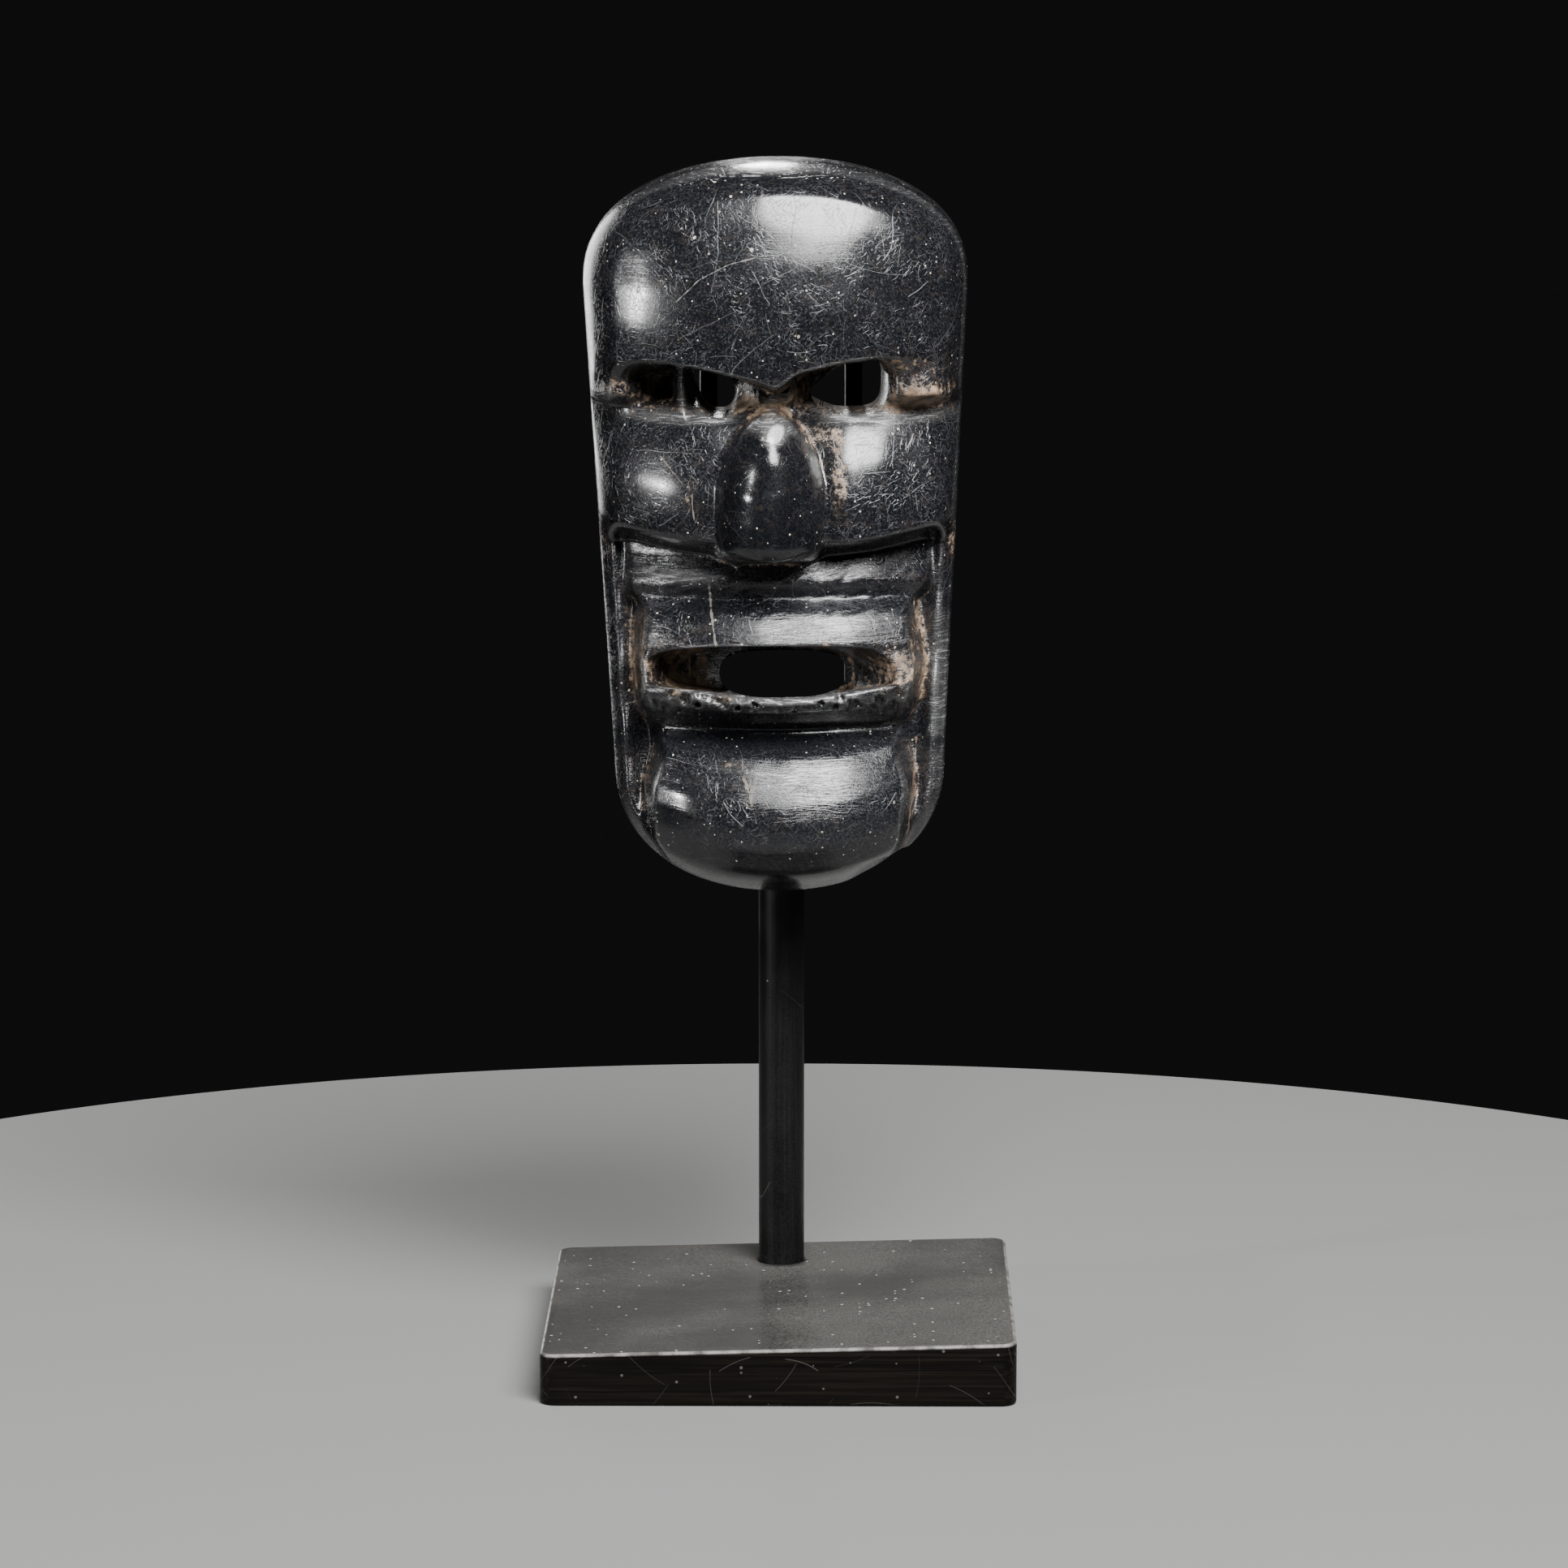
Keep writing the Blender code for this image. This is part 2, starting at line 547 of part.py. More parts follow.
def build_base():
    """A block with rounded corners, a sloping top and a blind hole for the rod."""
    mesh = bpy.data.meshes.new("wood_base")
    block = bmesh.new()
    ring = []
    for corner in range(4):
        angle = corner * 0.5 * math.pi
        quarter = [angle + k * 0.125 * math.pi for k in range(5)]
        centre_x = (0.5 * BASE_WIDTH - BASE_CORNER_RADIUS) * (1 if corner in (0, 3) else -1)
        centre_y = (0.5 * BASE_DEPTH - BASE_CORNER_RADIUS) * (1 if corner in (0, 1) else -1)
        for turn in quarter:
            x = centre_x + BASE_CORNER_RADIUS * math.cos(turn)
            y = centre_y + BASE_CORNER_RADIUS * math.sin(turn)
            ring.append(block.verts.new((x, y, 0.0)))
    foot = block.faces.new(ring)
    top = bmesh.ops.extrude_face_region(block, geom=[foot])["geom"]
    for vert in (v for v in top if isinstance(v, bmesh.types.BMVert)):
        vert.co.z = base_top(vert.co.x)
    bmesh.ops.recalc_face_normals(block, faces=block.faces)
    block.to_mesh(mesh)
    block.free()
    base = add_object("wood_base", mesh, WOOD)

    edges = base.modifiers.new("worn edges", "BEVEL")
    edges.width = BASE_EDGE_ROUND
    edges.segments = 2
    edges.limit_method = "ANGLE"
    edges.angle_limit = math.radians(60)

    bore = bpy.data.meshes.new("rod_bore")
    cutter = bmesh.new()
    radius = 0.5 * ROD_DIAMETER + GAP
    depth = 2.0 * (ROD_SEAT_DEPTH + GAP)
    place = Matrix.Translation((0.0, ROD_Y, base_top(0.0)))
    bmesh.ops.create_cone(
        cutter, cap_ends=True, segments=32, radius1=radius, radius2=radius, depth=depth, matrix=place
    )
    cutter.to_mesh(bore)
    cutter.free()
    drill = bpy.data.objects.new("rod_bore", bore)
    bpy.context.scene.collection.objects.link(drill)
    drill.hide_render = True
    drill.display_type = "WIRE"
    cut = base.modifiers.new("rod bore", "BOOLEAN")
    cut.operation = "DIFFERENCE"
    cut.object = drill
    return base


def build_rod():
    """A round bar from its seat in the base to the underside of the fork."""
    mesh = bpy.data.meshes.new("steel_rod")
    bar = bmesh.new()
    foot = base_top(0.0) - ROD_SEAT_DEPTH
    radius = 0.5 * ROD_DIAMETER
    place = Matrix.Translation((0.0, ROD_Y, 0.5 * (foot + ROD_TOP)))
    bmesh.ops.create_cone(
        bar, cap_ends=True, segments=32, radius1=radius, radius2=radius, depth=ROD_TOP - foot, matrix=place
    )
    bar.to_mesh(mesh)
    bar.free()
    rod = add_object("steel_rod", mesh, STEEL)
    mesh.shade_smooth()
    mesh.set_sharp_from_angle(angle=math.radians(40))
    return rod


def bent_line(corners, radius, steps=6):
    """A line through the corners, with each bend an arc of the given radius."""
    line = [Vector(corners[0])]
    for before, corner, after in zip(corners, corners[1:], corners[2:]):
        before, corner, after = Vector(before), Vector(corner), Vector(after)
        back = (before - corner).normalized()
        ahead = (after - corner).normalized()
        half = 0.5 * back.angle(ahead)
        centre = corner + (back + ahead).normalized() * (radius / math.sin(half))
        start = (corner + back * (radius / math.tan(half)) - centre).normalized()
        stop = (corner + ahead * (radius / math.tan(half)) - centre).normalized()
        line += [centre + radius * start.slerp(stop, k / steps) for k in range(steps + 1)]
    return line + [Vector(corners[-1])]


def wire_mesh(name, line, radius, sides=12):
    """A round wire along the line, closed at both ends."""
    wire = bmesh.new()
    normal = Vector((1.0, 0.0, 0.0))
    rings = []
    for k, point in enumerate(line):
        tangent = (line[min(k + 1, len(line) - 1)] - line[max(k - 1, 0)]).normalized()
        normal = (normal - tangent * normal.dot(tangent)).normalized()
        other = tangent.cross(normal)
        turns = [2.0 * math.pi * i / sides for i in range(sides)]
        spokes = [normal * math.cos(turn) + other * math.sin(turn) for turn in turns]
        rings.append([wire.verts.new(point + radius * spoke) for spoke in spokes])
    for near, far in zip(rings, rings[1:]):
        for i in range(sides):
            wire.faces.new((near[i], near[i - 1], far[i - 1], far[i]))
    wire.faces.new(rings[0])
    wire.faces.new(rings[-1][::-1])
    bmesh.ops.recalc_face_normals(wire, faces=wire.faces)
    mesh = bpy.data.meshes.new(name)
    wire.to_mesh(mesh)
    wire.free()
    return mesh


def prong_top(x):
    """The highest place where a prong's end still clears the hollow's sloping wall."""
    heights = np.linspace(0.5, 1.0, 2001) * MASK_HEIGHT
    needed = PRONG_TO_HOLLOW_MOUTH + 0.5 * WIRE_DIAMETER + GAP
    clear = hollow(np.full_like(heights, x), heights) > needed
    return MASK_Z + heights[clear].max() - 2.0 * GAP - 0.5 * PRONG_SPACING * math.tan(MASK_ROLL)


def build_fork():
    """A wire across the rod's top whose arms run forward and turn up into the hollow."""
    side = 0.5 * PRONG_SPACING
    corners = [(-side, PRONG_Y, prong_top(-side)), (-side, PRONG_Y, FORK_Z), (-side, ROD_Y, FORK_Z)]
    corners += [(-x, y, z) for x, y, z in reversed(corners)]
    line = bent_line(corners, WIRE_BEND_RADIUS)
    fork = add_object("wire_fork", wire_mesh("wire_fork", line, 0.5 * WIRE_DIAMETER), STEEL)
    fork.data.shade_smooth()
    fork.data.set_sharp_from_angle(angle=math.radians(40))
    return fork


for old in list(bpy.data.objects):
    bpy.data.objects.remove(old)
build_base()
build_rod()
build_fork()
build_mask()
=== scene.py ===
import math

import bpy
import numpy as np
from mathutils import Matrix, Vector


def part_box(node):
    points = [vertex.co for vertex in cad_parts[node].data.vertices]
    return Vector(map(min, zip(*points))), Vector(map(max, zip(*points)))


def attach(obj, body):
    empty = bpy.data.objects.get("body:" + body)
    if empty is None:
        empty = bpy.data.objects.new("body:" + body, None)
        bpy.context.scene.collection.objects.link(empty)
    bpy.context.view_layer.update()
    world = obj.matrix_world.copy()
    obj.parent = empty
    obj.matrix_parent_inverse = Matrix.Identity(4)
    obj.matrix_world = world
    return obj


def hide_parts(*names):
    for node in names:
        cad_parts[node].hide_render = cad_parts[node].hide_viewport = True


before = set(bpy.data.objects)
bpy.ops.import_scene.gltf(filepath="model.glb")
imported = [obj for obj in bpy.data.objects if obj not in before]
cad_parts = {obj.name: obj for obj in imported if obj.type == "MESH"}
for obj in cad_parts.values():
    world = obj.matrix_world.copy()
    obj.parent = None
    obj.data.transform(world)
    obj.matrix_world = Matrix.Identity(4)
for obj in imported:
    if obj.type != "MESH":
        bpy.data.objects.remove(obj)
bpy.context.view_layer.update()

# The mask: one piece of dark, fine-grained stone, carved with a hollow back, two eye holes and
# an open mouth, then rubbed smooth. Handling has scratched and polished it, and brown earth is
# left in its recesses. It hangs on the wire fork by the roof of its hollow. Sizes in metres.
MASK_HEIGHT = 0.1262
MASK_WIDTH = 0.0658
MASK_HALF = 0.5 * MASK_WIDTH
MASK_JAW_WIDTH = 0.0570
MASK_DEPTH = 0.036
MASK_ROLL = math.radians(0.5)
FACE_SHIFT = -0.0003
NOSE_SHIFT = -0.0011
RIM_WIDTH = 0.0055
HOLLOW_DEPTH = 0.013
HOLLOW_SLOPE = 0.020
HOLLOW_POWER = 1.3
GOUGE_DEPTH = 0.00025
GOUGE_LENGTHS = (0.011, 0.008, 0.0062, 0.005)
BACK_EDGE_RADIUS = 0.0014
mask_low, mask_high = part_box("stone_mask")
MASK_FOOT_Z = mask_low[2]
MASK_BACK_Y = mask_high[1]

# Outline: shares of the height where the caps begin, and how square they are
TOP_CAP = 0.834
BOTTOM_CAP = 0.185
CAP_POWER_ACROSS = 2.1
CAP_POWER_UP = 2.4
# The chip out of the outline where the right flange ends: its height, size and softness
OUTLINE_BITE = {"height": 0.0070, "depth": 0.0014, "soft": 0.0006, "reach": 0.004}

# Heights below are shares of the mask's height, places across are shares of its half width
# from the middle, and depths are shares of its depth over the back rim.
BARREL_RADIUS = 1.42
FOREHEAD = {"height": 0.788, "fall": 4.25}
BROW = (
    (-1.00, 0.700), (-0.95, 0.718), (-0.88, 0.739), (-0.73, 0.745), (-0.51, 0.743),
    (-0.28, 0.729), (-0.09, 0.718), (0.00, 0.708), (0.11, 0.728), (0.31, 0.740),
    (0.50, 0.747), (0.75, 0.750), (0.85, 0.739), (0.92, 0.716), (1.00, 0.698),
)
BROW_WALL = ((0.00, 0.014), (0.35, 0.016), (0.60, 0.030), (1.00, 0.034))
CHEEK = {"level": 0.93, "fall": 8.8}
CHEEK_HEIGHT = {"left": 0.552, "right": 0.529}
CHEEK_SHELF = (
    (0.640, 1.00), (0.654, 0.99), (0.662, 0.93), (0.675, 0.80), (0.684, 0.25), (0.692, 0.00),
)
CHEEK_CREST = {"left": 0.08, "right": 0.15}
CHEEK_ROUNDING = {"left": 0.52, "right": 0.46}
CHEEK_VALLEY = {"left": 0.02, "right": 0.08}
CHEEK_FOOT = ((0.00, 0.482), (0.30, 0.484), (0.50, 0.489), (0.75, 0.501), (1.00, 0.520))
FLANGE = {"level": 0.40, "ridge": 0.055, "ridge_inset": 0.0027, "ridge_spread": 0.0017}
EDGE_LEVEL = 0.30

# Floor of each eye slot from the middle outwards: bridge, hole, then a blind pocket
EYE_FLOOR = {
    "left": (
        (0.00, 0.76), (0.09, 0.75), (0.19, 0.50), (0.30, 0.43), (0.42, 0.48),
        (0.462, 0.76), (0.485, 0.74), (0.530, 0.50), (0.640, 0.50), (0.700, 0.60),
        (0.760, 0.68), (0.860, 0.69), (1.00, 0.50),
    ),
    "right": (
        (0.00, 0.76), (0.09, 0.75), (0.19, 0.50), (0.30, 0.43), (0.53, 0.47),
        (0.57, 0.68), (0.63, 0.78), (0.74, 0.80), (0.83, 0.77), (0.91, 0.70), (1.00, 0.50),
    ),
}
LOWER_FACE = (
    (0.000, 0.62), (0.050, 0.87), (0.085, 0.948), (0.115, 0.965), (0.142, 0.950),
    (0.167, 0.918), (0.190, 0.877), (0.205, 0.838), (0.213, 0.78), (0.221, 0.695),
    (0.230, 0.675), (0.238, 0.78), (0.246, 0.89), (0.259, 0.93), (0.310, 0.90),
    (0.350, 0.86), (0.360, 0.870), (0.378, 0.850), (0.394, 0.820), (0.404, 0.785),
    (0.411, 0.72), (0.418, 0.700), (0.428, 0.720), (0.441, 0.745), (0.457, 0.715),
    (0.476, 0.68), (0.520, 0.68),
)
LOWER_FACE_WIDTH = (
    (0.000, 0.50), (0.040, 0.60), (0.090, 0.675), (0.160, 0.680), (0.205, 0.640),
    (0.236, 0.655), (0.270, 0.720), (0.325, 0.745), (0.385, 0.710), (0.405, 0.700),
    (0.422, 0.790), (0.485, 0.820),
)
LOWER_FACE_SAG = ((0.00, 0.0090), (0.19, 0.0088), (0.25, 0.0070), (0.35, 0.0064), (0.50, 0.0066))
# Where across the bend and the sag reach those amounts
LOWER_FACE_SIDE = 0.7
# How far each height's line curves up by the ends of the mouth
LOWER_FACE_BEND = (
    (0.100, 0.032), (0.150, 0.034), (0.200, 0.012), (0.235, 0.009), (0.265, 0.018),
    (0.310, 0.008), (0.360, -0.009), (0.410, 0.000), (0.430, -0.006), (0.480, 0.000),
)
NOSE_RIDGE = (
    (0.463, 0.60), (0.470, 0.88), (0.477, 1.03), (0.487, 1.085), (0.502, 1.115),
    (0.538, 1.137), (0.577, 1.140), (0.621, 1.115), (0.651, 1.080), (0.662, 1.035),
    (0.670, 0.95), (0.676, 0.80), (0.685, 0.50),
)
NOSE_HALF_WIDTH = (
    (0.463, 0.16), (0.472, 0.242), (0.489, 0.292), (0.529, 0.312), (0.575, 0.302),
    (0.613, 0.255), (0.639, 0.195), (0.659, 0.118), (0.672, 0.04),
)
NOSE_BASE_LEVEL = 0.74
NOSE_POWER = 0.6
NOSE_FILLET = 0.0007
NOSE_HOOK = 0.0022
LIP_HOOK = 0.0028
LIP_HOOK_REACH = (0.206, 0.244, 0.274, 0.310)
EDGE_ROUNDING = (
    (0.000, 0.0110), (0.060, 0.0060), (0.120, 0.0026), (0.450, 0.0026), (0.520, 0.0050),
    (0.700, 0.0070), (0.860, 0.0070), (1.000, 0.0065),
)
EDGE_POWER = 2.5
FURROWS = {"slant": 13.0, "pitch": 0.0017, "depth": 0.00026}
LIP_CHIP_DEPTH = 0.0013
LIP_CHIP_LENGTHS = (0.0083, 0.0051, 0.0037, 0.0029, 0.0023, 0.0018)
UNEVENNESS = 0.00018
UNEVEN_LENGTHS = (0.021, 0.016, 0.012, 0.0085, 0.0065)
EYE_HOLE = {"foot": 0.667, "head": 0.722, "wall": 0.22}
EYE_ENDS = {"left": (0.203, 0.442), "right": (0.180, 0.553)}
EYE_SLOPE = {"left": 0.070, "right": 0.110}
EYE_LEAN = {"left": 0.090, "right": 0.0}
# How square each hole is at its inner and its outer end
EYE_POWER = {"left": (2.3, 3.2), "right": (1.6, 3.4)}
MOUTH_MIDDLE = 0.022
MOUTH_HOLE = {"half_width": 0.331, "foot": 0.268, "head": 0.334}
MOUTH_SLOT = {"half_width": 0.735, "foot": 0.266, "head": 0.359}
MOUTH_HOLE_POWER = 3.0
MOUTH_SLOT_POWER = 4.0
MOUTH_FLOOR_LEVEL = {"left": 0.46, "right": 0.85}
MOUTH_FLOOR_REACH = 1.1
MOUTH_FLOOR_POWER = 0.38
MOUTH_WALL = 0.24

# Carving grid: cells across and up, how often each is halved, and where the holes lie
MASK_CELLS = (48, 74)
MASK_REFINED = 4
HOLE_CELLS = {"left": (13, 19, 49, 53), "right": (29, 36, 49, 53), "mouth": (17, 32, 19, 24)}
SIDE_ROWS = 8
QUARTER_TURNS = np.radians((0.0, 22.5, 45.0, 67.5, 90.0))
STEEPEST_WALL = 5.0
CROWDING_STEP = 0.0003
CROWDING_BLUR = 0.0012


def smooth_step(x, start, end):
    """0 before start, 1 after end, and between them 3 q^2 - 2 q^3 of the share q covered."""
    share = np.clip((x - start) / (end - start), 0.0, 1.0)
    return share * share * (3.0 - 2.0 * share)


def band(x, start, full, fade, end):
    """Up from 0 to 1 by a smooth step from start to full, and down again from fade to end."""
    return smooth_step(x, start, full) * (1.0 - smooth_step(x, fade, end))


def between(pair, share):
    """From the pair's left value to its right value, by that share."""
    return pair["left"] + (pair["right"] - pair["left"]) * share


def larger(x, y, blend):
    """The larger of two heights with a fillet: half of their sum plus the square root of
    difference^2 + blend^2."""
    return 0.5 * (x + y + np.sqrt((x - y) ** 2 + blend**2))


def profile(x, points, rounding=0.005):
    """A line through the points, averaged over a cosine window that rounds its corners."""
    places, values = np.array(points).T
    fine = np.linspace(places[0] - 3 * rounding, places[-1] + 3 * rounding, 1601)
    reach = max(1, int(round(rounding / (fine[1] - fine[0]))))
    window = np.hanning(2 * reach + 3)
    padded = np.pad(np.interp(fine, places, values), reach + 1, mode="edge")
    return np.interp(x, fine, np.convolve(padded, window / window.sum(), mode="valid"))


def ripple(a, h, lengths, seed):
    """Mean of sine waves across (a, h) in seeded directions, one for each wavelength."""
    draw = np.random.default_rng(seed)
    total = np.zeros_like(a)
    for length in lengths:
        turn, phase = draw.uniform(0.0, 2.0 * math.pi, 2)
        total += np.sin(2.0 * math.pi / length * (a * math.cos(turn) + h * math.sin(turn)) + phase)
    return total / len(lengths)


def half_width(t):
    """Half width of the outline between its caps: a straight line from temples to jaw."""
    down = (TOP_CAP - t) / (TOP_CAP - BOTTOM_CAP)
    return 0.5 * (MASK_WIDTH + (MASK_JAW_WIDTH - MASK_WIDTH) * np.clip(down, 0.0, 1.0))


def rim_distance(a, h):
    """Distance inwards from the outline |a/side|^p + cap^q = 1: one less that sum, over its
    slope."""
    t = h / MASK_HEIGHT
    side = half_width(t)
    cap = np.maximum((t - TOP_CAP) / (1.0 - TOP_CAP), (BOTTOM_CAP - t) / BOTTOM_CAP).clip(0.0)
    share = np.abs(a) / side
    level = share**CAP_POWER_ACROSS + cap**CAP_POWER_UP
    across = CAP_POWER_ACROSS * share ** (CAP_POWER_ACROSS - 1.0) / side
    cap_length = MASK_HEIGHT * np.where(t > 0.5, 1.0 - TOP_CAP, BOTTOM_CAP)
    up = CAP_POWER_UP * cap ** (CAP_POWER_UP - 1.0) / cap_length
    return (1.0 - level) / np.maximum(np.hypot(across, up), 1e-3 / MASK_HEIGHT)


def hollow(a, h):
    """Back: flat on the rim, then a power of a quarter sine down to the hollow's depth."""
    share = np.clip((rim_distance(a, h) - RIM_WIDTH) / HOLLOW_SLOPE, 0.0, 1.0)
    gouged = GOUGE_DEPTH * ripple(a, h, GOUGE_LENGTHS, 5) * smooth_step(share, 0.0, 0.3)
    return HOLLOW_DEPTH * np.sin(0.5 * math.pi * share) ** HOLLOW_POWER + gouged


def nose(a, t):
    """Rounded wedge: its ridge's depth times a power of 1 - x^2, x the share of its half width."""
    share = np.abs(a - NOSE_SHIFT) / (MASK_HALF * profile(t, NOSE_HALF_WIDTH))
    inside = np.clip(1.0 - share**2, 0.0, 1.0) ** NOSE_POWER
    level = NOSE_BASE_LEVEL + (profile(t, NOSE_RIDGE) - NOSE_BASE_LEVEL) * inside
    beyond = (NOSE_HALF_WIDTH[0][0] - t).clip(0.0) + (t - NOSE_HALF_WIDTH[-1][0]).clip(0.0)
    return MASK_DEPTH * (level - 0.5 * (share - 1.0).clip(0.0) - 12.0 * beyond)


def upper_face(a, t, sag):
    """Forehead: a parabola up the face less the barrel's sag. Cheeks: a parabola both ways.
    Between them lies the eye slot, whose floor is a line of depths from the middle outwards."""
    s = a / MASK_HALF
    out = s - FACE_SHIFT / MASK_HALF
    across = np.abs(out)
    floors = {side: profile(across, points, 0.012) for side, points in EYE_FLOOR.items()}
    slot = MASK_DEPTH * between(floors, smooth_step(out, -0.02, 0.02))
    forehead = MASK_DEPTH * (1.0 - FOREHEAD["fall"] * (t - FOREHEAD["height"]) ** 2) - sag
    side = smooth_step(out, -0.05, 0.05)
    cheek = CHEEK["level"] - CHEEK["fall"] * (t - between(CHEEK_HEIGHT, side)) ** 2
    cheek -= between(CHEEK_ROUNDING, side) * (across - between(CHEEK_CREST, side)).clip(0.0) ** 2
    cheek -= between(CHEEK_VALLEY, side) * (1.0 - smooth_step(across, 0.12, 0.44))
    brow = profile(s, BROW, 0.03)
    wall = profile(np.abs(s), BROW_WALL, 0.04)
    front = slot + (forehead - slot) * smooth_step(t, brow - wall, brow) ** 0.7
    return front + (MASK_DEPTH * cheek - front) * profile(t, CHEEK_SHELF, 0.004)


def lower_face(a, h, t):
    """A band raised over the flanges: its depth follows one line up the middle, less a power of
    the place across. The flange is level, with a ridge exp(-x^2) along the rim."""
    s = np.abs(a) / MASK_HALF
    bent = t - profile(t, LOWER_FACE_BEND, 0.012) * (s / LOWER_FACE_SIDE) ** 2
    sag = profile(t, LOWER_FACE_SAG, 0.02) * (s / LOWER_FACE_SIDE) ** 2.2
    raised = MASK_DEPTH * profile(bent, LOWER_FACE, 0.0032) - sag
    inset = (rim_distance(a, h) - FLANGE["ridge_inset"]) / FLANGE["ridge_spread"]
    worn = 1.0 + 0.5 * ripple(a, h, (0.009, 0.014, 0.023), 8)
    flange = MASK_DEPTH * (FLANGE["level"] + FLANGE["ridge"] * worn * np.exp(-(inset**2)))
    width = profile(t, LOWER_FACE_WIDTH, 0.012) + 0.012 * ripple(a, h, (0.013, 0.021), 9)
    return flange + (raised - flange) * smooth_step(-s, -width - 0.045, -width + 0.050)


def eye_reach(a, t, side):
    """Superellipse measure of an eye hole: 1 on its edge and less inside it. Its power goes over
    from the inner end's to the outer end's, and the outer end leans inwards at the foot."""
    across = (a - FACE_SHIFT) / MASK_HALF
    across = -across if side == "left" else across
    inner, outer = EYE_ENDS[side]
    head = EYE_HOLE["head"] + EYE_SLOPE[side] * (across - 0.35).clip(-0.2, 0.3)
    y = 2.0 * (t - EYE_HOLE["foot"]) / (head - EYE_HOLE["foot"]) - 1.0
    outer = outer - EYE_LEAN[side] * (0.5 - 0.5 * y.clip(-1.0, 1.0))
    x = 2.0 * (across - inner) / (outer - inner) - 1.0
    inner_power, outer_power = EYE_POWER[side]
    power = inner_power + (outer_power - inner_power) * smooth_step(x, -0.7, 0.7)
    return (np.abs(x) ** power + np.abs(y) ** power) ** (1.0 / power)


def mouth_reach(a, t, shape, power):
    """Superellipse measure of the mouth's hole or slot, whose lines bend as the lips do."""
    s = a / MASK_HALF
    bent = t - profile(t, LOWER_FACE_BEND, 0.012) * (s / LOWER_FACE_SIDE) ** 2
    x = (s - MOUTH_MIDDLE) / shape["half_width"]
    middle = 0.5 * (shape["foot"] + shape["head"])
    y = (bent - middle) / (shape["head"] - middle)
    return (np.abs(x) ** power + np.abs(y) ** power) ** (1.0 / power)


def hole_edge(name, angle):
    """Points round a hole: cos and sin to the power 2/p, each then drawn along its ray from the
    hole's middle until the hole's measure is 1 there, which is its edge."""
    if name == "mouth":
        middle = np.array((MOUTH_MIDDLE, 0.5 * (MOUTH_HOLE["foot"] + MOUTH_HOLE["head"])))
        size = np.array((MOUTH_HOLE["half_width"], 0.5 * (MOUTH_HOLE["head"] - MOUTH_HOLE["foot"])))
        power = MOUTH_HOLE_POWER
    else:
        flip = -1.0 if name == "left" else 1.0
        inner, outer = EYE_ENDS[name]
        across = flip * 0.5 * (inner + outer) + FACE_SHIFT / MASK_HALF
        middle = np.array((across, 0.5 * (EYE_HOLE["foot"] + EYE_HOLE["head"])))
        size = np.array((0.5 * (outer - inner), 0.5 * (EYE_HOLE["head"] - EYE_HOLE["foot"])))
        power = EYE_POWER[name][1]
    x = np.sign(np.cos(angle)) * np.abs(np.cos(angle)) ** (2.0 / power)
    y = np.sign(np.sin(angle)) * np.abs(np.sin(angle)) ** (2.0 / power)
    ray = np.column_stack((x * size[0], y * size[1]))
    reach = np.ones(len(angle))
    for _ in range(8):
        place = middle + ray * reach[:, None]
        a, t = MASK_HALF * place[:, 0], place[:, 1]
        if name == "mouth":
            level = mouth_reach(a, t, MOUTH_HOLE, power)
        else:
            level = eye_reach(a, t, name)
        reach /= level
    place = middle + ray * reach[:, None]
    return MASK_HALF * place[:, 0], MASK_HEIGHT * place[:, 1]


def tool_marks(a, h):
    """Furrows sin(2 pi d / pitch) left slanting across the fold, d being the way across them, and
    chips out of the lower lip wherever a ripple stands over its threshold."""
    s, t = np.abs(a) / MASK_HALF, h / MASK_HEIGHT
    slant = math.radians(FURROWS["slant"])
    across = h * math.cos(slant) - a * math.sin(slant)
    across += 0.0012 * ripple(a, h, (0.007, 0.013, 0.019), 11)
    furrow = np.sin(2.0 * math.pi / FURROWS["pitch"] * across)
    furrow *= 0.6 + 0.4 * ripple(a, h, (0.006, 0.009), 12)
    fold = band(t, 0.392, 0.406, 0.440, 0.475) * (1.0 - smooth_step(s, 0.60, 0.80))
    chipped = smooth_step(ripple(a, h, LIP_CHIP_LENGTHS, 21), 0.08, 0.36)
    lip = band(t, 0.244, 0.252, 0.268, 0.282) * (1.0 - smooth_step(s, 0.60, 0.75))
    return -FURROWS["depth"] * furrow * fold - LIP_CHIP_DEPTH * chipped * lip


